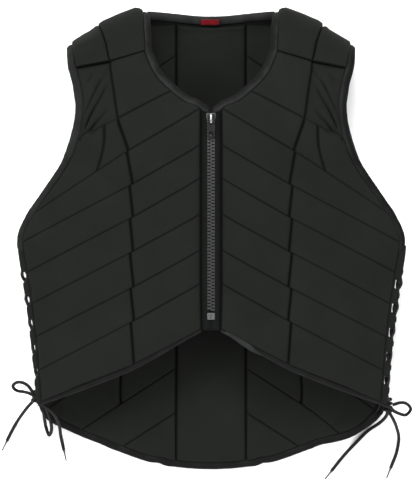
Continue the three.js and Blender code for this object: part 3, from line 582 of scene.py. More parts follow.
def slab(name, lines, columns, place, half, used=None):
    """A closed quilted slab: place(line, column) is its middle and half(line, column) half its
    thickness there. A seam attribute tells how near a point is to a seam; the cloth's colour darkens
    with it as painted shade."""
    bm = bmesh.new()
    rows, across = len(lines) - 1, len(columns) - 1
    bmesh.ops.create_grid(bm, x_segments=across, y_segments=rows, size=0.5)
    for vert in bm.verts:
        vert.co = (round((vert.co.x + 0.5) * across), round((vert.co.y + 0.5) * rows), 0)
    if used:
        unused = [f for f in bm.faces if not used(lines[int(f.calc_center_median().y)],
                                                  columns[int(f.calc_center_median().x)])]
        bmesh.ops.delete(bm, geom=unused, context="FACES")
    grown = bmesh.ops.extrude_face_region(bm, geom=bm.faces[:], use_keep_orig=True)["geom"]
    for vert in grown:
        if isinstance(vert, bmesh.types.BMVert):
            vert.co.z = 1
    middle = [[place(line, column) for column in columns] for line in lines]
    seam_shade_layer = bm.verts.layers.float.new("seam")
    for vert in bm.verts:
        j, i, top = (round(value) for value in vert.co)
        down = middle[min(i + 1, rows)][j] - middle[max(i - 1, 0)][j]
        over = middle[i][min(j + 1, across)] - middle[i][max(j - 1, 0)]
        normal = over.cross(down).normalized()
        if normal.z < 0 and not name.startswith("shoulder"):
            normal = -normal
        thick, seam = half(lines[i], columns[j])
        vert.co = middle[i][j] + normal * thick * (1 if top else -1)
        # The seam value later darkens the cloth's colour as painted shade
        vert[seam_shade_layer] = seam
    bmesh.ops.recalc_face_normals(bm, faces=bm.faces)
    smoothed(bm)
    return link(name, bm)


# Folds of the soft piece by the armhole, each from one end to the other in millimetres, with its
# depth and width
FOLDS = [
    ((146, 210), (164, 168), 2.6, 3.6), ((138, 199), (166.5, 146), 2.9, 3.8),
    ((136.4, 168), (168, 131), 2.4, 3.6), ((150, 190), (170, 128), 1.4, 3.2),
    ((156, 218), (165, 204), 1.8, 3.2), ((136, 222), (150, 196), 1.2, 3.4),
]


def fold_depth(x, y):
    """How deep the folds are at a place, in metres. Each fades at its ends."""
    depth = 0
    here = Vector((abs(x) * 1000, y * 1000))
    for start, end, most, width in FOLDS:
        a, b = Vector(start), Vector(end)
        run = b - a
        share = (here - a).dot(run) / run.length_squared
        if -0.1 < share < 1.1:
            off = (here - (a + run * share)).length
            fade = math.sin(math.pi * bounded((share + 0.1) / 1.2)) ** 0.6
            depth += most * fade * (math.exp(-(off / width) ** 2 * 2.2)
                                    - 0.5 * math.exp(-((off - width * 1.3) / width) ** 2 * 3))
    return depth * 0.001


SOFT_END = 1.35  # the line where the folds by the armhole have died away


def fold_at(line, column):
    """The folds' depth at a place of a front half: only by the armhole, above the second row."""
    if column <= 1 or line >= SOFT_END:
        return 0
    place = front_place(line, column, 1)
    fade = bounded((SOFT_END - line) / 0.35) * bounded((column - 1) * 8)
    return fold_depth(place.x, place.y) * fade


def front_half(line, column):
    """Half the thickness of a front half, and how near a seam is, raised where the folds by the armhole
    are deep: the cloth's colour darkens with it as painted shade.
    """
    inner, seam, outer = front_edges(line)
    row = min(math.floor(line + 1e-9), 7)
    height = (along(FRONT, RISE, row) - along(FRONT, RISE, row + 1)) * LENGTH * ROW_SLANT
    part = line - row
    near_row = min(part, 1 - part) * height
    near_end = (8 - line) * height
    strength = INNER_SEAM_SHADE if column <= 1 else OUTER_SEAM_SHADE
    if column <= 1:
        near_column = min(column, 1 - column) * (seam - inner)
        soft = False
    else:
        width = outer - seam
        shares = [column - 1, 2 - column]
        if 1 < line < 2:
            shares.append(abs(column - 1 - SHORT_SEAM))
        near_column = min(shares) * width
        soft = line < 1
    half, dark = quilted(near_column, near_row, near_end, SOFT if soft else PAD, strength)
    # The folds' depth also darkens the cloth's colour through the seam attribute: painted shade in the
    # folds.
    return half, min(max(dark, fold_at(line, column) * 190), 1)


# The nylon is a fine plain weave, matt, with a slight unevenness where the foam shows through. Down in
# the sewn channels and the folds by the armhole its colour is darkened as painted shade.
WEAVE = 0.0009


def woven(shade, pitch):
    """The threads of a plain weave."""
    x, y, z = shade.place().axes()
    slant = z * 0.35
    warp = ((x + slant) * (math.tau / pitch)).sine()
    weft = ((y + slant) * (math.tau / pitch)).sine()
    return warp * weft * 0.5 + 0.5


cloth_finish, cloth = new_finish("woven_nylon")
cloth_weave = woven(cloth, WEAVE)
cloth_patches = cloth.unevenness(16.0, 4.0, 0.6)
cloth_grain = cloth.unevenness(620.0, 2.0)
# The seam attribute darkens the colour in the sewn channels and folds: painted shade
seam_shade_value = cloth.node("ShaderNodeAttribute", {"attribute_name": "seam"}, {}, 2)
channel_shade = ((seam_shade_value - 0.1) * 1.25).clamped()
tone = cloth_patches * 0.4 + cloth_grain * 0.25 + cloth_weave * 0.2 + 0.08
surface(cloth, (tone - channel_shade * 0.9).clamped(), (0.0006, 0.0007, 0.0006), (0.0096, 0.0111, 0.0092),
        (0.92 - cloth_weave * 0.12).clamped(),
        (cloth_weave * 0.6 + cloth_grain * 0.4 + cloth_patches * 1.2, 0.35, 0.0005), 0.09)

row_heights = [(along(FRONT, RISE, k) - along(FRONT, RISE, k + 1)) * LENGTH for k in range(8)]
front_lines = cell_marks(0, row_heights[:1], 0.0022) + cell_marks(1, row_heights[1:])[1:]
front_columns = cell_marks(0, [0.092]) + cell_marks(1, [0.118], 0.0026)[1:]
sides = {"left": -1, "right": 1}


PUFF = 0.0012
STRAP_PUFF = 0.001
PUFF_FRAMES = 12


def puffed(piece, most):
    """Blows the foam blocks up a little between their seams, as a cloth under pressure, with the
    seams held, and keeps every point within the given distance of its place."""
    mesh = piece.data
    seam = mesh.attributes["seam"].data
    held = piece.vertex_groups.new(name="held")
    for vert in mesh.vertices:
        held.add([vert.index], min(seam[vert.index].value * 3.0, 1.0), "REPLACE")
    before = [vert.co.copy() for vert in mesh.vertices]
    cloth_modifier = piece.modifiers.new("pressure", "CLOTH")
    settings = cloth_modifier.settings
    settings.quality = 3
    settings.mass = 0.3
    settings.tension_stiffness = 20
    settings.compression_stiffness = 20
    settings.shear_stiffness = 6
    settings.bending_stiffness = 1.5
    settings.use_pressure = True
    settings.uniform_pressure_force = 7
    settings.vertex_group_mass = "held"
    settings.effector_weights.gravity = 0
    cloth_modifier.collision_settings.use_collision = False
    cloth_modifier.point_cache.frame_end = PUFF_FRAMES
    for number in range(1, PUFF_FRAMES + 1):
        scene.frame_set(number)
    graph = bpy.context.evaluated_depsgraph_get()
    moved = piece.evaluated_get(graph).to_mesh()
    after = [vert.co.copy() for vert in moved.vertices]
    piece.evaluated_get(graph).to_mesh_clear()
    piece.modifiers.remove(cloth_modifier)
    for vert, start, end in zip(mesh.vertices, before, after):
        step = end - start
        if step.length > most:
            step *= most / step.length
        vert.co = start + step
    piece.vertex_groups.remove(held)
    scene.frame_set(1)


for name, side in sides.items():
    def front_middle(line, column):
        place = front_place(line, column, side)
        place.z -= fold_at(line, column)
        return place

    front = slab(f"quilted_front_{name}", front_lines, front_columns, front_middle, front_half)
    puffed(front, PUFF)
    front.data.materials.append(cloth_finish)
    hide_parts(f"front_panel_{name}")
    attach(front, "protector")


# The back
# One quilted panel of the same nylon: a plain centre column, two columns of chevron blocks on
# each side, and the long rounded tail. Its nape runs up between the shoulders.
# line, rise, dip, fall, outer seam, outer edge
BACK = [
    (-1, 0.466, 0.007, -0.14, 0.464, 0.680), (0, 0.447, 0, 0.52, 0.464, 0.676),
    (1, 0.393, 0, 0.65, 0.464, 0.665), (2, 0.297, 0, 0.65, 0.464, 0.757),
    (2.5, 0.249, 0, 0.65, 0.464, 0.905), (3, 0.201, 0, 0.65, 0.464, 0.945),
    (4, 0.105, 0, 0.65, 0.464, 0.923), (5, 0.008, 0, 0.65, 0.464, 0.897),
    (6, -0.088, 0, 0.65, 0.464, 0.875), (7, -0.184, 0, 0.65, 0.460, 0.850),
    (8, -0.280, 0, 0.65, 0.460, 0.668), (8.5, -0.328, 0, 0.65, 0.400, 0.559),
    (9, -0.376, 0, 0.64, 0.340, 0.454), (9.5, -0.445, 0.002, 0.50, 0.270, 0.304),
    (10, -0.481, 0.005, -0.10, 0.205, 0.225),
]
DIP, BACK_FALL, BACK_SEAM, BACK_SIDE = 2, 3, 4, 5
COLUMN = 0.179
NAPE = 0.322
# From the neck to the arm, as shares of the half width and the length: where a line over the
# shoulder starts at the front, is at the top and ends at the back, and how far up its crown is
SHOULDER = [
    (0.330, 0.350, 0.326, 0.4905), (0.357, 0.377, 0.353, 0.496), (0.420, 0.457, 0.408, 0.483),
    (0.485, 0.540, 0.440, 0.468), (0.510, 0.563, 0.464, 0.460), (0.537, 0.586, 0.490, 0.451),
    (0.600, 0.640, 0.580, 0.437), (0.655, 0.680, 0.650, 0.427), (0.681, 0.704, 0.676, 0.420),
]


def shoulder_bend(x, crown):
    """Where the bend over a shoulder starts, its radius and the height of its centre."""
    low = PAD / 2
    start = crown - BEND - low
    high = front_height(x, start)
    start = crown - (high - low) / 2 - PAD / 2
    high = front_height(x, start)
    return start, (high - low) / 2, (high + low) / 2


# The tail's corner at one side has slipped down, in ripples: how far, from how far out, over
# what width, round which line, and the ripples' height
RUMPLE = 0.0085
RUMPLE_START, RUMPLE_SPAN, RUMPLE_LINE = 0.14, 0.05, 8.1
RIPPLE = 0.0022
nape_bend = shoulder_bend(NAPE * HALF_WIDTH, SHOULDER[0][3] * LENGTH)


def back_height(x, y):
    across = max(abs(x) - BACK_FLAT, 0) / (HALF_WIDTH - BACK_FLAT)
    flat = PAD / 2 + BACK_LIFT * across ** 1.8
    start, radius, _ = nape_bend
    past = min(max(y - start, 0), radius * 0.95)
    return flat + radius - math.sqrt(radius ** 2 - past ** 2)


def on_back(line, x):
    column = COLUMN * HALF_WIDTH
    beyond = max(abs(x) - column, 0)
    within = 1 - min(abs(x) / column, 1) ** 2
    rise = along(BACK, RISE, line) - along(BACK, DIP, line) * within
    y = rise * LENGTH - beyond * along(BACK, BACK_FALL, line)
    slack = bounded((x - RUMPLE_START) / RUMPLE_SPAN)
    slack *= math.exp(-((line - RUMPLE_LINE) / 0.8) ** 2)
    ripple = RIPPLE * math.sin(x * 210 + line * 5) * slack
    return Vector((x, y - RUMPLE * slack, back_height(x, y) + RUMPLE * 0.5 * slack + ripple))


def back_edges(line):
    """The centre column's edge, the nape's edge, the outer seam and the outer edge."""
    column = COLUMN * HALF_WIDTH
    seam = along(BACK, BACK_SEAM, line) * HALF_WIDTH
    outer = along(BACK, BACK_SIDE, line) * HALF_WIDTH
    nape = column + (seam - column) * (NAPE - COLUMN) / (BACK[0][BACK_SEAM] - COLUMN)
    return [0, column, nape, seam, outer]


def across_back(line, column):
    """The x of a column: 1 the centre column's edge, 2 the nape's, 3 the seam, 4 the edge."""
    edges = back_edges(line)
    cell = min(int(abs(column)), 3)
    x = edges[cell] + (edges[cell + 1] - edges[cell]) * (abs(column) - cell)
    return math.copysign(x, column)


def back_half(line, column):
    """Half the thickness of the back, and how near a seam is."""
    _, inner, nape, seam, outer = back_edges(line)
    x = abs(across_back(line, column))
    row = min(max(math.floor(line + 1e-9), -1), 9)
    height = (along(BACK, RISE, row) - along(BACK, RISE, row + 1)) * LENGTH * BACK_SLANT
    from_top = (line - row) * height
    from_foot = (1 - (line - row)) * height
    near_end = {-1: from_top, 9: from_foot}.get(row, 1.0)
    if x < inner:
        near_row = near_end
        near_column = inner - x
    else:
        in_nape = abs(column) < 2 and line < 1
        near_row = min(from_top, from_foot)
        if in_nape:
            near_row = from_top if row == -1 else from_foot
        if row == -1:
            near_column = min(x - inner, nape - x)
        elif line > 8:
            near_column = min(x - inner, outer - x)
        elif x < seam:
            near_column = min(x - inner, seam - x)
        else:
            near_column = min(x - seam, outer - x)
    if row == -1:
        near_end = min(near_end, near_row)
    # 0.6 is the strength of the painted shade at the back's slanting seams
    return quilted(near_column, near_row, near_end, PAD, 0.6)


BACK_SPACING = 0.0055
COLUMN_WIDTHS = [0.047, 0.038, 0.037, 0.115]  # centre half, to the nape's edge, to the seam, outer
half_columns = cell_marks(0, COLUMN_WIDTHS, BACK_SPACING)
back_columns = [-column for column in reversed(half_columns[1:])] + half_columns
back_lines = cell_marks(-1, [
    (along(BACK, RISE, k) - along(BACK, RISE, k + 1)) * LENGTH for k in range(-1, 10)
], BACK_SPACING)
back = slab(
    "quilted_back", back_lines, back_columns,
    lambda line, column: on_back(line, across_back(line, column)), back_half,
    used=lambda line, column: line >= 0 or -2 <= column < 2,  # only the nape goes on up
)
puffed(back, PUFF)
back.data.materials.append(cloth_finish)
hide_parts("back_panel")
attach(back, "protector")


# The shoulders
# Two blocks side by side, bent over from the front's top seam to the back's, so that the crown
# of the inner one stands a step higher than that of the outer one.
STRAP_START = 0.15
STRAP_TURN = 1.3
STRAP_LEAD = 0.007  # how far a strap runs on from its seams before it turns


def strap_columns(side):
    """For each column of the table: its path from the front seam to the back seam."""
    made = []
    for front_share, top_share, back_share, crown_share in SHOULDER:
        start, radius, centre = shoulder_bend(top_share * HALF_WIDTH, crown_share * LENGTH)
        front_x, top_x, back_x = (v * HALF_WIDTH for v in (front_share, top_share, back_share))
        front_y = on_front(0, front_x, 1).y + CLEAR
        back_y = on_back(0, back_x).y + CLEAR
        begin_x = front_x + (top_x - front_x) * STRAP_START
        begin_y = front_y + min(STRAP_LEAD, (start - front_y) / 2)
        path = [Vector((front_x, front_y, front_height(front_x, front_y))),
                Vector((begin_x, begin_y, front_height(begin_x, begin_y)))]
        for k in range(13):
            share = k / 12
            other = front_x if share < 0.5 else back_x
            x = top_x + (other - top_x) * abs(share - 0.5) * STRAP_TURN
            path.append(Vector((x, start + math.sin(share * math.pi) * radius,
                                centre + math.cos(share * math.pi) * radius)))
        path.append(Vector((back_x, back_y + min(STRAP_LEAD, (start - back_y) / 2), PAD / 2)))
        path.append(Vector((back_x, back_y, PAD / 2)))
        made.append([Vector((p.x * side, p.y, p.z)) for p in path])
    return made


def strap_place(paths, line, column):
    """A point of the strap: line from 0 at the front seam to 1 at the back seam, column from 0
    at the neck through 1 at the seam to 2 at the arm."""
    table_place = column * 4
    low = min(int(table_place), 7)
    here = [a.lerp(b, table_place - low) for a, b in zip(paths[low], paths[low + 1])]
    lengths = [0]
    for before, after in zip(here, here[1:]):
        lengths.append(lengths[-1] + (after - before).length)
    wanted = line * lengths[-1]
    row = 0
    while row < len(here) - 2 and lengths[row + 1] < wanted:
        row += 1
    span = max(lengths[row + 1] - lengths[row], 1e-9)
    return here[row].lerp(here[row + 1], (wanted - lengths[row]) / span)


STRAP_LENGTH = 0.17
STRAP_WIDTH = 0.046
strap_lines = cell_marks(0, [STRAP_LENGTH])
strap_across = cell_marks(0, [STRAP_WIDTH, STRAP_WIDTH])


def strap_half(line, column):
    part = column - min(math.floor(column + 1e-9), 1)
    near_column = min(part, 1 - part) * STRAP_WIDTH
    # 0.5 is the strength of the painted shade at the straps' slanting seams
    return quilted(near_column, line * STRAP_LENGTH, (1 - line) * STRAP_LENGTH, PAD, 0.5)


for name, side in sides.items():
    paths = strap_columns(side)
    strap = slab(
        f"shoulder_pads_{name}", strap_lines, strap_across,
        lambda line, column: strap_place(paths, line, column), strap_half,
    )
    puffed(strap, STRAP_PUFF)
    strap.data.materials.append(cloth_finish)
    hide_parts(f"shoulder_{name}")
    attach(strap, "protector")


# The edge rolls
# Every edge is bound with a soft tape of the same black, folded round it and stitched through close to
# its inner border, which puckers it a little. Its colour is darkened on the side that faces outwards as
# painted shade, and its copies are painted darker at the armholes and the hem's turn and lighter along
# the hem's fold, as painted shade and painted highlight.
def binding_cloth(name, dark, light, outer_shade):
    """The tape of the rolls: ribbed and uneven, with painted shade on the side that faces outwards."""
    made, shade = new_finish(name)
    across, reach, _ = shade.node("ShaderNodeUVMap").axes()
    ribs = (reach * (math.tau / 0.0011)).sine() * (across * (math.tau / 0.0013)).sine()
    # Painted shade: the colour darkens on the side of the roll that faces outwards.
    outward_shade = (((across * (math.tau / ROLL_ROUND) + math.pi / 2).sine() - 0.55) * 2.4).clamped()
    patches = shade.unevenness(60.0, 5.0)
    surface(shade, (patches * 0.8 + ribs * 0.12 - outward_shade * outer_shade).clamped(), dark, light,
            (0.88 - ribs * 0.08).clamped(), (ribs * 0.4 + patches * 1.6, 0.4, 0.0006), 0.1)
    return made


PUCKER = 0.035  # how much the stitches draw the tape in, as a share
PUCKERS = 160  # how many times a metre
ROLL_ROUND = 0.0325  # the way round a roll's section
binding_finish = binding_cloth("edge_binding", (0.003, 0.0033, 0.003), (0.025, 0.0268, 0.0255), 0.5)
# A darker copy of the same tape for the armholes: painted shade.
arm_shade_finish = binding_cloth("armhole_tape_painted_shade", (0.002, 0.0022, 0.002), (0.0168, 0.0183, 0.0172), 0.6)
# A much darker copy of the tape for the hem's turned-under roll: painted shade.
turn_shade_finish = binding_cloth("hem_turn_painted_shade", (0.0012, 0.0013, 0.0012), (0.0072, 0.008, 0.0073), 0.0)
# A lighter copy of the tape for the thin fold along the hem and its turned-up facing: painted
# highlight.
fold_highlight_finish = binding_cloth("hem_fold_painted_highlight", (0.004, 0.0044, 0.0041), (0.024, 0.0255, 0.0243), 0.0)


def upward(normal):
    normal = normal.normalized()
    return normal if normal.z > 0 else -normal


def edge_station(point, inward, up):
    """A station on an edge: its way out is away from the point further in."""
    out = point - inward
    return point, (out - up * out.dot(up)).normalized(), up


def bound_edge(name, node, stations, reach, height, tuck=0.0022, ends=(0.004, 0.35),
               finish=binding_finish):
    """A rolled tape along an edge, from coarse stations that it smooths into a fine path. It
    grows thinner at its ends, over ends[0] and down to the share ends[1]."""
    spacing = 0.004 if ends[0] > 0.003 else 0.003
    places = smooth_route([station[0] for station in stations], spacing)
    coarse = [0]
    for before, after in zip(stations, stations[1:]):
        coarse.append(coarse[-1] + (after[0] - before[0]).length)
    fine = []
    total = path_length(places)
    row = 0
    for k, place in enumerate(places):
        wanted = coarse[-1] * k / (len(places) - 1)
        while row < len(coarse) - 2 and coarse[row + 1] < wanted:
            row += 1
        span = max(coarse[row + 1] - coarse[row], 1e-9)
        share = bounded((wanted - coarse[row]) / span)
        out = stations[row][1].lerp(stations[row + 1][1], share)
        up_end = stations[row + 1][2]
        if stations[row][2].dot(up_end) < 0:
            up_end = -up_end
        up = stations[row][2].lerp(up_end, share)
        ahead = (places[min(k + 1, len(places) - 1)] - places[max(k - 1, 0)]).normalized()
        out = (out - ahead * out.dot(ahead)).normalized()
        up = (up - ahead * up.dot(ahead) - out * up.dot(out)).normalized()
        if out.cross(ahead).dot(up) < 0:
            up = -up
        fine.append((place, out, up))

    def section(share):
        pucker = 1 + PUCKER * noise.noise(Vector((share * total * PUCKERS, len(name), 0)))
        pucker *= ends[1] + (1 - ends[1]) * rounded(min(share, 1 - share) * total, ends[0])
        far = reach(share) if callable(reach) else reach
        middle, radius = (far * pucker - tuck) / 2, (far + tuck) / 2
        return [
            (middle + pushed(math.cos(angle), 0.8) * radius * pucker,
             pushed(math.sin(angle), 0.85) * height / 2 * pucker)
            for angle in ring_angles(14)
        ]

    roll = swept(name, fine, section)
    roll.data.materials.append(finish)
    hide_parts(node)
    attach(roll, "protector")


def front_run(side, lines, edge):
    """Stations down one edge of a front half: edge is 0 for the zip edge and 2 for the outer."""
    beside, further = (0.05, 0.08) if edge == 0 else (1.95, 1.93)
    made = []
    for line in lines:
        point = front_place(line, edge, side)
        above = front_place(max(line - 0.05, 0), edge, side)
        down = front_place(min(line + 0.05, 8), edge, side) - above
        up = upward((point - front_place(line, beside, side)).cross(down))
        made.append(edge_station(point, front_place(line, further, side), up))
    return made


def strap_run(side, shares, column, inner):
    paths = strap_columns(side)
    made = []
    for share in shares:
        point = strap_place(paths, share, column)
        inward = strap_place(paths, share, inner)
        ahead = strap_place(paths, min(share + 0.02, 1), column)
        behind = strap_place(paths, max(share - 0.02, 0), column)
        up = (point - inward).cross(ahead - behind).normalized()
        made.append(edge_station(point, inward, up))
    return made


def back_run(side, lines):
    made = []
    for line in lines:
        edge = side * back_edges(line)[4]
        point = on_back(line, edge)
        inward = on_back(line, edge * 0.95)
        made.append(edge_station(point, inward, Vector((0, 0, 1))))
    return made


RIGHT = Vector((1, 0, 0))
NAPE_RAISE = 0.003  # the collar stands up a little in the middle of the nape


def nape_run(shares):
    """Stations along the nape's upper edge, from one side to the other."""
    made = []
    for share in shares:
        x = share * NAPE * HALF_WIDTH
        raised = Vector((0, NAPE_RAISE * (1 - share ** 2), 0))
        point = on_back(-1, x) + raised
        inward = on_back(-0.8, x) + raised
        made.append(edge_station(point, inward, upward(RIGHT.cross(point - inward))))
    return made


ROLL = 0.0092
NECK_LINES = [2.0, 1.8, 1.6, 1.4, 1.2, 1.0, 0.8, 0.6, 0.4, 0.2, 0.0]
NECK_SHARES = [0.08, 0.18, 0.28, 0.38, 0.48, 0.58, 0.66]
NECK_PARTING = 0.0014  # how far from the middle the collar's two ends stop


def neck_tip(side):
    first = front_run(side, [2.0], 0)[0]
    place = first[0].copy()
    place.y -= 0.35 * (abs(place.x) - NECK_PARTING)
    place.x = side * NECK_PARTING
    return place, Vector((0, 1, 0)), first[2]


def neck_side(side):
    """Stations round half of the neck, from the zip up to the nape."""
    stations = [neck_tip(side), *front_run(side, NECK_LINES, 0)]
    return stations + strap_run(side, NECK_SHARES, 0, 0.1)


neck = [*neck_side(-1), *nape_run([-1, -0.6, -0.2, 0.2, 0.6, 1]), *reversed(neck_side(1))]
bound_edge("collar_roll", "neck_binding", neck, ROLL, ROLL * 1.02, ends=(0.02, 0.5))

ARM_FRONT = [3.35, 3.15, *(3 - k / 4 for k in range(12))]
ARM_OVER = [0.06, 0.16, 0.28, 0.4, 0.5, 0.6, 0.72, 0.84, 0.94]
ARM_BACK = [0.1, 0.4, 0.7, 1.0, 1.5, 2.0, 2.25, 2.5, 2.75, 3.0, 3.15, 3.35]
HEM_LEAST, HEM_MORE = 0.0022, 0.0042
HEM_END = 2.05  # how far out the hem's roll runs: a little past the front's outer edge
HEM_STEPS = 20
LENS_END = 0.27  # how far from the zip the turned-up facing shows, as a share of the hem
LENS_WIDTH = 0.0066
TAIL_LINES = [7 + k / 4 for k in range(12)]


def hem_reach(share):
    """How far the hem's fold reaches below the pads: little by the zip, more by the seam."""
    return HEM_LEAST + HEM_MORE * math.sin(math.pi * bounded((share - 0.1) / 0.88))


def facing_width(share, side):
    """How much of the hem's facing has turned up: a lens beside the zip's end, coloured lighter as a
    painted highlight.
    """
    if side < 0 or share > LENS_END:
        return 0
    return LENS_WIDTH * math.sin(math.pi * share / LENS_END) ** 0.8


for name, side in sides.items():
    arm = front_run(side, ARM_FRONT, 2)
    arm += strap_run(side, ARM_OVER, 2, 1.9)
    arm += back_run(side, ARM_BACK)
    bound_edge(f"armhole_roll_{name}", f"armhole_binding_{name}", arm, ROLL, ROLL,
               ends=(0.008, 0.5), finish=arm_shade_finish)

    hem = []
    for k in range(HEM_STEPS + 1):
        column = HEM_END * k / HEM_STEPS
        point = front_place(8, column, side)
        inward = front_place(7.9, column, side)
        across = front_place(8, column + 0.05, side) - front_place(8, max(column - 0.05, 0), side)
        hem.append(edge_station(point, inward, upward(across.cross(point - inward))))
    bound_edge(f"hem_roll_{name}", f"hem_binding_{name}", hem, hem_reach, ROLL * 0.9,
               finish=turn_shade_finish)
    folded = []
    for k, (point, out, up) in enumerate(hem):
        share = k / HEM_STEPS
        shown = facing_width(share, side)
        lift = 0.0014 + 0.0026 * min(shown / 0.004, 1)
        folded.append((point + out * (hem_reach(share) - shown) + up * lift, out, up))
    # The fold's lighter tape is a painted highlight along the hem's lower edge.
    bound_edge(f"hem_fold_{name}", f"hem_binding_{name}", folded,
               lambda share: 0.0012 + facing_width(share, side), 0.0018, 0.0005, (0.002, 0.5),
               fold_highlight_finish)

tail = back_run(-1, TAIL_LINES)
for k in range(-6, 7):
    x = k / 6 * back_edges(10)[4]
    tail.append(edge_station(on_back(10, x), on_back(9.8, x), Vector((0, 0, 1))))
tail += reversed(back_run(1, TAIL_LINES))
bound_edge("tail_roll", "tail_binding", tail, 0.0083, 0.008)


# The lacing at the sides
# Each open side has a tape along both edges with six loops of folded tape sewn on, and one lace
# crossed through the loops from the armhole down to the waist.
EDGE_TAPE = 0.0018
EDGE_TAPE_HEIGHT = 0.006
LOOP_RADIUS = 0.0035
LOOP_HOLE = 0.0025
LOOP_LENGTH = 0.007
LOOP_PITCH = 0.032
LOOP_COUNT = 6
# The two sides are laced a little apart in height, and differ in what a flap keeps at its openings.
FIRST_LOOP = {"left": -0.033, "right": -0.0435}
FLAP_KEPT = {"left": 0.001, "right": 0.0023}
LOOP_MARGIN = 0.0015
TOP_LOOP_OUT = 0.0015  # how much further out the uppermost loop stands than the lowest
TOP_FLAP_OUT = 0.0016
# How far out the loops stand on each side, the reach of the tapes' flaps and the way of the two
# strands: out, in and apart in height
BANDS = {
    "left": (0.0043, 0.0068, 0.0016, -0.0048, 0.0),
    "right": (0.0074, 0.0094, 0.0014, -0.0014, 0.0019),
}
FLAP_THICK = 0.0012
FLAP_UP = 0.0029
WINDOW = 0.0054  # half the length of the openings midway between the loops
FLAP_SLANT = 0.0022  # the length over which the flap narrows beside an opening


def side_of(x):
    return "right" if x > 0 else "left"


def station_at(stations, y):
    number = next(k for k, station in enumerate(stations) if station[0].y < y)
    before, after = stations[number - 1], stations[number]
    share = (before[0].y - y) / (before[0].y - after[0].y)
    return tuple(before[k].lerp(after[k], share) for k in range(3))


def loop_places(stations, loop_out):
    made = []
    first = FIRST_LOOP[side_of(stations[0][0].x)]
    for k in range(LOOP_COUNT):
        place, out, up = station_at(stations, first - k * LOOP_PITCH)
        nearby = station_at(stations, first - k * LOOP_PITCH - 0.01)[0]
        ahead = (nearby - place).normalized()
        out = (out - ahead * out.dot(ahead)).normalized()
        further = TOP_LOOP_OUT * (1 - k / (LOOP_COUNT - 1))
        made.append((place + out * (loop_out + further), out, ahead))
    return made


def flap_width(x, y, reach):
    """How far the tape's flap reaches: it is cut back midway between the loops."""
    part = (FIRST_LOOP[side_of(x)] - y) / LOOP_PITCH
    off = abs(part - math.floor(part) - 0.5) * LOOP_PITCH
    full = reach + TOP_FLAP_OUT * bounded(1 - part / LOOP_COUNT)
    if part < 0 or part > LOOP_COUNT - 1:
        return full
    share = bounded((WINDOW + FLAP_SLANT - off) / FLAP_SLANT)
    return full - (full - FLAP_KEPT[side_of(x)]) * share * share * (3 - 2 * share)


def finer(stations, steps):
    """The same stations with more between them."""
    made = []
    for station, after in zip(stations, stations[1:]):
        for k in range(steps):
            made.append(tuple(station[n].lerp(after[n], k / steps) for n in range(3)))
    return [*made, stations[-1]]


def sewn_flap(name, node, stations, turned, reach):
    """The tape's free border, which covers the loops."""
    places = finer(stations, 12)
    widths = [flap_width(place.x, place.y, reach) for place, _, _ in places]

    def section(share):
        width = widths[round(share * (len(widths) - 1))]
        top, low = FLAP_UP + FLAP_THICK / 2, FLAP_UP - FLAP_THICK / 2
        outline = [(-0.0015, low), (width - 0.0004, low), (width, FLAP_UP),
                   (width - 0.0004, top), (width * 0.5, top + 0.0002), (-0.0015, top)]
        return [(x, z * turned) for x, z in outline]

    flap = swept(name, places, section)
    flap.data.materials.append(cloth_finish)
    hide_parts(node)
    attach(flap, "protector")


def sewn_loops(name, node, stations, loop_out):
    """The tape and its loops: each loop is a strip spun round into a ring."""
    tape = swept(name, finer(stations, 3), lambda share: [
        (CLEAR + x * EDGE_TAPE, z * EDGE_TAPE_HEIGHT / 2) for x, z in [
            (-0.3, -0.8), (0.5, -1), (0.9, -0.8), (1.0, -0.4), (1.0, 0.4), (0.9, 0.8), (0.5, 1),
            (-0.3, 0.8),
        ]
    ])
    bm = bmesh.new()
    bm.from_mesh(tape.data)
    for centre, out, ahead in loop_places(stations, loop_out):
        mid, wall = (LOOP_RADIUS + LOOP_HOLE) / 2, (LOOP_RADIUS - LOOP_HOLE) / 2
        strip = []
        for angle in ring_angles(10):
            x = pushed(math.cos(angle), 0.5)
            z = pushed(math.sin(angle), 0.9)
            strip.append(bm.verts.new(
                centre + out * (mid + z * wall) + ahead * x * LOOP_LENGTH / 2))
        ring = [bm.edges.new((strip[k], strip[(k + 1) % 10])) for k in range(10)]
        bmesh.ops.spin(
            bm, geom=strip + ring, cent=centre, axis=ahead, angle=math.tau, steps=18,
            use_merge=True, dvec=(0, 0, 0),
        )
    smoothed(bm)
    bmesh.ops.recalc_face_normals(bm, faces=bm.faces)
    bm.to_mesh(tape.data)
    bm.free()
    tape.data.materials.append(binding_finish)
    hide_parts(node)
    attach(tape, "protector")


def strand_points(loops, first, side_name, offset, lift):
    order = ["front", "back"] if first == "front" else ["back", "front"]
    side = sides[side_name]
    points = []
    for k in range(LOOP_COUNT):
        centre, _, ahead = loops[order[k % 2]][k]
        reach = LOOP_LENGTH / 2 + LOOP_MARGIN
        entry, leave = centre - ahead * reach, centre + ahead * reach
        if k > 0:
            middle = points[-1].lerp(entry, 0.5)
            middle.x += side * (offset + (0.002 - 0.0005 * k if offset > 0 else 0))
            middle.z += lift
            points.append(middle)
        points += [entry, leave]
    way = {"back": (0.1, 0.8, -0.6), "front": (0.1, 0.75, 0.65)}[order[(LOOP_COUNT - 1) % 2]]
    return points + [from_knot(side_name, way, KNOT_STEM), from_knot(side_name, way)]


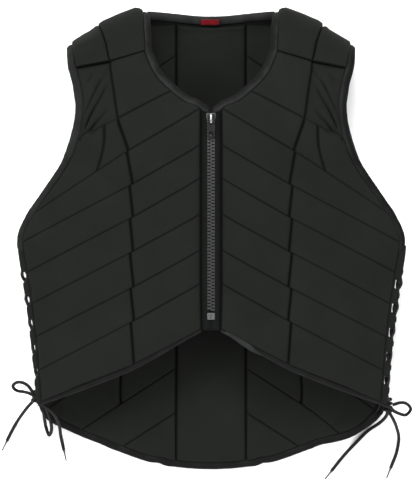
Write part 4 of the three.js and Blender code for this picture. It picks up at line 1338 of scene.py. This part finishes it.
for name, side in sides.items():
    edges = {
        "front": front_run(side, [3 + 0.25 * k for k in range(21)], 2),
        "back": back_run(side, [3 + 0.25 * k for k in range(18)]),
    }
    loop_out, flap_reach, outer_strand, inner_strand, lift = BANDS[name]
    for edge, stations in edges.items():
        sewn_loops(f"loop_strip_{edge}_{name}", f"loop_tape_{edge}_{name}", stations, loop_out)
        sewn_flap(f"loop_flap_{edge}_{name}", f"loop_tape_{edge}_{name}", stations,
                  1 if edge == "front" else -1, flap_reach)
    loops = {edge: loop_places(stations, loop_out) for edge, stations in edges.items()}
    down = strand_points(loops, "front", name, outer_strand, lift)
    up_strand = strand_points(loops, "back", name, inner_strand, -lift)
    up_strand.reverse()
    top = up_strand[-1].lerp(down[0], 0.5)
    top.y += LACE
    lacing = swept(f"lacing_{name}", cord_stations(smooth_route([*up_strand, top, *down], 0.0028)),
                   round_section(LACE / 2, 12))
    lacing.data.materials.append(lace_finish)
    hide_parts(f"side_lace_{name}")
    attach(lacing, "protector")


# The zip
# A heavy moulded zip: woven tapes sewn under the front edges, plastic teeth moulded on them, a retainer
# box at the lower end and a die-cast slider whose bridge is made bright as a painted highlight.
TAPE = 0.0014
CHAIN = 0.0052
CHAIN_HEIGHT = 0.0032
ZIP_TOP = 0.165
ZIP_BOTTOM = -0.112
RETAINER = 0.009
RETAINER_HEIGHT = 0.005
SLIDER_DROP = 0.0075
SLIDER_LENGTH = 0.014
TOOTH_PITCH = 0.0043
FIRST_TOOTH = 0.0016  # from the slider to the first tooth's middle
LAST_TOOTH = 0.0012  # from the retainer to the last one's
TEETH_ROOM = 0.0012  # from the middle to a tape's edge beside the teeth
TAPES_MEET = 0.00015  # the same below the retainer


# Each part of a tooth: how far out it is, half its width along the zip, and its height
TOOTH = {
    "tip": (-0.0009, 0.00165, 0.0026), "neck": (0.0016, 0.00105, 0.0026),
    "shoulder": (0.0024, 0.0014, CHAIN_HEIGHT), "root": (0.0051, 0.0018, CHAIN_HEIGHT),
}


def block(bm, middle, ahead, up, size):
    """Adds a box with its length along the zip."""
    for vert in bmesh.ops.create_cube(bm, size=1)["verts"]:
        x, y, z = vert.co
        vert.co = middle + RIGHT * x * size[0] + ahead * y * size[1] + up * z * size[2]


def bevelled(bm, width, steps, clamp=True):
    """Turns a form's faces outwards and rounds off its edges."""
    bmesh.ops.recalc_face_normals(bm, faces=bm.faces)
    bmesh.ops.bevel(bm, geom=bm.edges[:], offset=width, segments=steps, profile=0.5,
                    affect="EDGES", material=-1, clamp_overlap=clamp)


def zip_frame(y):
    """The middle of the zip at y, the way ahead up the zip and its normal."""
    slope = (front_height(0, y + 0.001) - front_height(0, y - 0.001)) / 0.002
    up = Vector((0, -slope, 1)).normalized()
    return Vector((0, y, front_height(0, y))), Vector((0, 1, slope)).normalized(), up


tape_finish, tape_shade = new_finish("zip_tape")
tape_weave = woven(tape_shade, 0.0008)
tape_grain = tape_shade.unevenness(260.0, 3.0)
surface(tape_shade, (tape_weave * 0.5 + tape_grain * 0.5).clamped(), (0.0012, 0.0013, 0.0013),
        (0.0042, 0.0045, 0.0044), 0.9 - tape_weave * 0.1, (tape_weave, 0.5, 0.0003), 0.08)


def moulded_plastic(name, dark, light):
    return speckled(name, 300.0, dark, light, (0.25, 0.28), (0.2, 0.0002), 0.3)[0]


moulded_finish = moulded_plastic("moulded_teeth", (0.007, 0.0074, 0.0072), (0.021, 0.0218, 0.0214))
retainer_finish = moulded_plastic("retainer_box", (0.03, 0.031, 0.0305), (0.085, 0.087, 0.086))

CLOTH_END = ZIP_BOTTOM - 0.0095  # the tapes' ends, folded under the hem


def inner_edge(share):
    """The tapes meet below the retainer and leave room for the teeth above it."""
    y = ZIP_TOP + (CLOTH_END - ZIP_TOP) * share
    return TEETH_ROOM if y > ZIP_BOTTOM + RETAINER / 2 else TAPES_MEET


slider_y = ZIP_TOP - SLIDER_DROP
chain_top = slider_y - SLIDER_LENGTH / 2 - CLEAR
retainer_y = ZIP_BOTTOM + RETAINER
chain_bottom = retainer_y + RETAINER / 2 + CLEAR
for name, side in sides.items():
    stations = []
    for k in range(71):
        y = ZIP_TOP + (CLOTH_END - ZIP_TOP) * k / 70
        place, _, up = zip_frame(y)
        stations.append((place, RIGHT * side, up))
    tape = swept(f"zip_cloth_{name}", stations, lambda share: [
        (x, z * TAPE / 2) for x, z in [
            (inner_edge(share), -1), (ZIP_GAP + 0.0015, -1), (ZIP_GAP + 0.0015, 0.2), (0.009, 1),
            (0.0062, 1.35), (0.0052, 1.35), (inner_edge(share), 1),
        ]
    ])
    tape.data.materials.append(tape_finish)
    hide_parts(f"zip_tape_{name}")
    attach(tape, "protector")

    bm = bmesh.new()
    count = int((chain_top - chain_bottom - 0.003) / TOOTH_PITCH)
    for k in range(count):
        y = chain_top - FIRST_TOOTH - (k + (0.5 if side > 0 else 0)) * TOOTH_PITCH
        if y < chain_bottom + LAST_TOOTH:
            continue
        place, ahead, up = zip_frame(y)
        tooth = bmesh.ops.create_cube(bm, size=1)["verts"]
        for vert in tooth:
            vert.co = (vert.co.x + 0.5, vert.co.y, vert.co.z)
        faces = {f for v in tooth for f in v.link_faces}
        head = [f for f in faces if f.normal.x < -0.9]
        grown = bmesh.ops.extrude_face_region(bm, geom=head)["geom"]
        neck_verts = {v for v in grown if isinstance(v, bmesh.types.BMVert)}
        tip_faces = [f for f in grown if isinstance(f, bmesh.types.BMFace)]
        grown = bmesh.ops.extrude_face_region(bm, geom=tip_faces)["geom"]
        tip_verts = {v for v in grown if isinstance(v, bmesh.types.BMVert)}
        all_verts = {v for f in faces if f.is_valid for v in f.verts} | neck_verts | tip_verts
        for vert in all_verts:
            sx, sy, sz = vert.co
            if vert in tip_verts:
                part = "tip"
            elif vert in neck_verts:
                part = "neck"
            else:
                part = "root" if sx > 0.5 else "shoulder"
            across, wide, high = TOOTH[part]
            vert.co = (place + RIGHT * side * across + ahead * math.copysign(wide, sy)
                       + up * math.copysign(high / 2, sz))
    bevelled(bm, 0.00022, 1)
    teeth = link(f"teeth_{name}", bm)
    teeth.data.materials.append(moulded_finish)
    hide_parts(f"zip_teeth_{name}")
    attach(teeth, "protector")

# The retainer box is a moulded block with a sunken face and two ribs down it.
RIB_OUT = 0.0025
RIB_SIZE = (0.0024, 0.0074, 0.0024)
bm = bmesh.new()
place, ahead, up = zip_frame(retainer_y)
block(bm, place, ahead, up, (CHAIN * 2, RETAINER, RETAINER_HEIGHT))
bevelled(bm, 0.0011, 3, clamp=False)
top_face = max(bm.faces, key=lambda f: f.calc_center_median().dot(up))
bmesh.ops.inset_individual(bm, faces=[top_face], thickness=0.0008, depth=-0.0004)
smoothed(bm)
for across in (-RIB_OUT, RIB_OUT):
    rib_middle = place + RIGHT * across + up * RETAINER_HEIGHT / 2
    block(bm, rib_middle, ahead, up, RIB_SIZE)
retainer = link("retainer", bm)
retainer.data.materials.append(retainer_finish)
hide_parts("zip_retainer")
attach(retainer, "protector")


# The slider and its tab
# The slider is dull die-cast metal; its arched bridge is the same metal, made bright as a painted
# highlight. The tab hangs from the bridge by its bar, a flat black-nickel plate with a long window and
# a round hole.
def metal_finish(name, dark, light, rough):
    made, inputs = speckled(name, 700.0, dark, light, (0.2, rough), (0.15, 0.0001))
    inputs["Metallic"].default_value = 1.0
    return made


slider_finish = metal_finish("slider_metal", (0.016, 0.0165, 0.016), (0.046, 0.047, 0.046), 0.42)
# The bridge's bright colour is a painted highlight on the slider's dark metal.
bridge_highlight_finish = metal_finish("bridge_metal_painted_highlight", (0.17, 0.175, 0.175), (0.36, 0.37, 0.37), 0.24)
tab_finish = metal_finish("tab_metal", (0.006, 0.0063, 0.006), (0.017, 0.0175, 0.017), 0.48)
# Half of the slider's outline, in millimetres: how far out, and how far up the zip
SLIDER_OUTLINE = [
    (0.0, 6.1), (1.2, 6.2), (2.4, 7.0), (4.9, 7.0), (6.4, 6.2), (6.7, 4.6), (6.5, 1.0),
    (5.6, -2.6), (5.0, -7.4), (4.0, -8.8), (0.0, -9.0),
]
SLIDER_PLATE = 0.0017
SLIDER_GAP = 0.0022
# The post between the slider's plates
POST_UP, POST_WIDTH, POST_LENGTH = 0.0042, 0.0026, 0.003
BRIDGE_WIDTH = 0.0028
BRIDGE_WALL = 0.0017
# Half the bridge's length along the zip, and its heights over the upper plate
BRIDGE_HALF = 0.006
BRIDGE_HEIGHT = 0.0054
place, ahead, up = zip_frame(slider_y)
outline = SLIDER_OUTLINE + [(-x, y) for x, y in reversed(SLIDER_OUTLINE[1:-1])]
bm = bmesh.new()
for low in (SLIDER_GAP / 2, -SLIDER_GAP / 2 - SLIDER_PLATE):
    ring = [
        bm.verts.new(place + RIGHT * x * 0.001 + ahead * y * 0.001 + up * low)
        for x, y in outline
    ]
    plate = bm.faces.new(ring)
    grown = bmesh.ops.extrude_face_region(bm, geom=[plate], use_keep_orig=True)["geom"]
    for vert in grown:
        if isinstance(vert, bmesh.types.BMVert):
            vert.co += up * SLIDER_PLATE
block(bm, place + ahead * POST_UP, ahead, up, (POST_WIDTH, POST_LENGTH, SLIDER_GAP + 0.0004))
bevelled(bm, 0.0004, 2)
smoothed(bm)
body = link("slider_body", bm)
body.data.materials.append(slider_finish)
plate_top = SLIDER_GAP / 2 + SLIDER_PLATE
arch = [
    (BRIDGE_HALF, -0.0004), (BRIDGE_HALF, 0.0024), (BRIDGE_HALF - 0.0011, 0.0042),
    (BRIDGE_HALF - 0.0032, BRIDGE_HEIGHT), (0.0, BRIDGE_HEIGHT), (-0.0042, 0.0053),
    (-0.007, 0.0043), (-0.0083, 0.0024), (-0.0084, -0.0004),
]
arch_path = smooth_route([
    place + ahead * (y - math.copysign(BRIDGE_WALL / 2, y)) + up * (plate_top + z - BRIDGE_WALL / 2)
    for y, z in arch
], 0.0008)
arch_stations = []
for k, point in enumerate(arch_path):
    onward = (arch_path[min(k + 1, len(arch_path) - 1)] - arch_path[max(k - 1, 0)]).normalized()
    arch_stations.append((point, RIGHT, RIGHT.cross(onward).normalized()))
bridge = swept("slider_bridge", arch_stations, lambda share: [
    (pushed(math.cos(angle), 0.5) * BRIDGE_WIDTH / 2,
     pushed(math.sin(angle), 0.5) * BRIDGE_WALL / 2)
    for angle in ring_angles(16)
])
bridge.data.materials.append(bridge_highlight_finish)
for piece in (body, bridge):
    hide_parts("zip_slider")
    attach(piece, "protector")
pull_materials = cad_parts["zip_pull"].data.materials
pull_materials.clear()
pull_materials.append(tab_finish)


# The neck label
# A small woven ribbon, plain red, sewn flat on the nape.
LABEL_X = -0.0011
LABEL_WIDTH = 0.0245
LABEL_HEIGHT = 0.0076
LABEL_THICKNESS = 0.0009
label_finish, label_shade = new_finish("red_ribbon")
label_weave = woven(label_shade, 0.0006)
label_grain = label_shade.unevenness(180.0, 3.0)
surface(label_shade, (label_weave * 0.35 + label_grain * 0.55 - 0.5).clamped(),
        (0.08, 0.001, 0.003), (0.55, 0.006, 0.016), 0.75 - label_weave * 0.15,
        (label_weave, 0.5, 0.0002), 0.1)
nape_point, nape_out, nape_up = nape_run([0])[0]
bm = bmesh.new()
bmesh.ops.create_grid(bm, x_segments=16, y_segments=6, size=0.5)
grown = bmesh.ops.extrude_face_region(bm, geom=bm.faces[:], use_keep_orig=True)["geom"]
for vert in grown:
    if isinstance(vert, bmesh.types.BMVert):
        vert.co.z = 1
for vert in bm.verts:
    x, y, z = vert.co
    corner = max(abs(x) - 0.44, 0) / 0.06 if y < 0 else 0
    y = y + 0.12 * corner ** 2 * -min(y, 0) * 2
    curl = 0.0004 * math.sin(x * 9) - 0.0005 * (0.5 + y) * abs(x)
    vert.co = (nape_point + Vector((LABEL_X + x * LABEL_WIDTH, 0, 0))
               + nape_out * (0.0042 + y * LABEL_HEIGHT)
               + nape_up * (PAD / 2 + CLEAR + z * LABEL_THICKNESS + curl))
bmesh.ops.recalc_face_normals(bm, faces=bm.faces)
smoothed(bm)
label = link("label_ribbon", bm)
label.data.materials.append(label_finish)
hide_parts("neck_label")
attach(label, "protector")


# The table top
# A plain pale surface, wide enough to fill the view from every side.
floor_finish, floor_shade = new_finish("table_top")
surface(floor_shade, floor_shade.unevenness(3.0, 2.0), (0.9, 0.9, 0.9), (0.93, 0.93, 0.93), 0.95,
        specular=0.1)
bm = bmesh.new()
bmesh.ops.create_grid(bm, x_segments=1, y_segments=1, size=6)
floor = link("table_top", bm)
floor.data.materials.append(floor_finish)
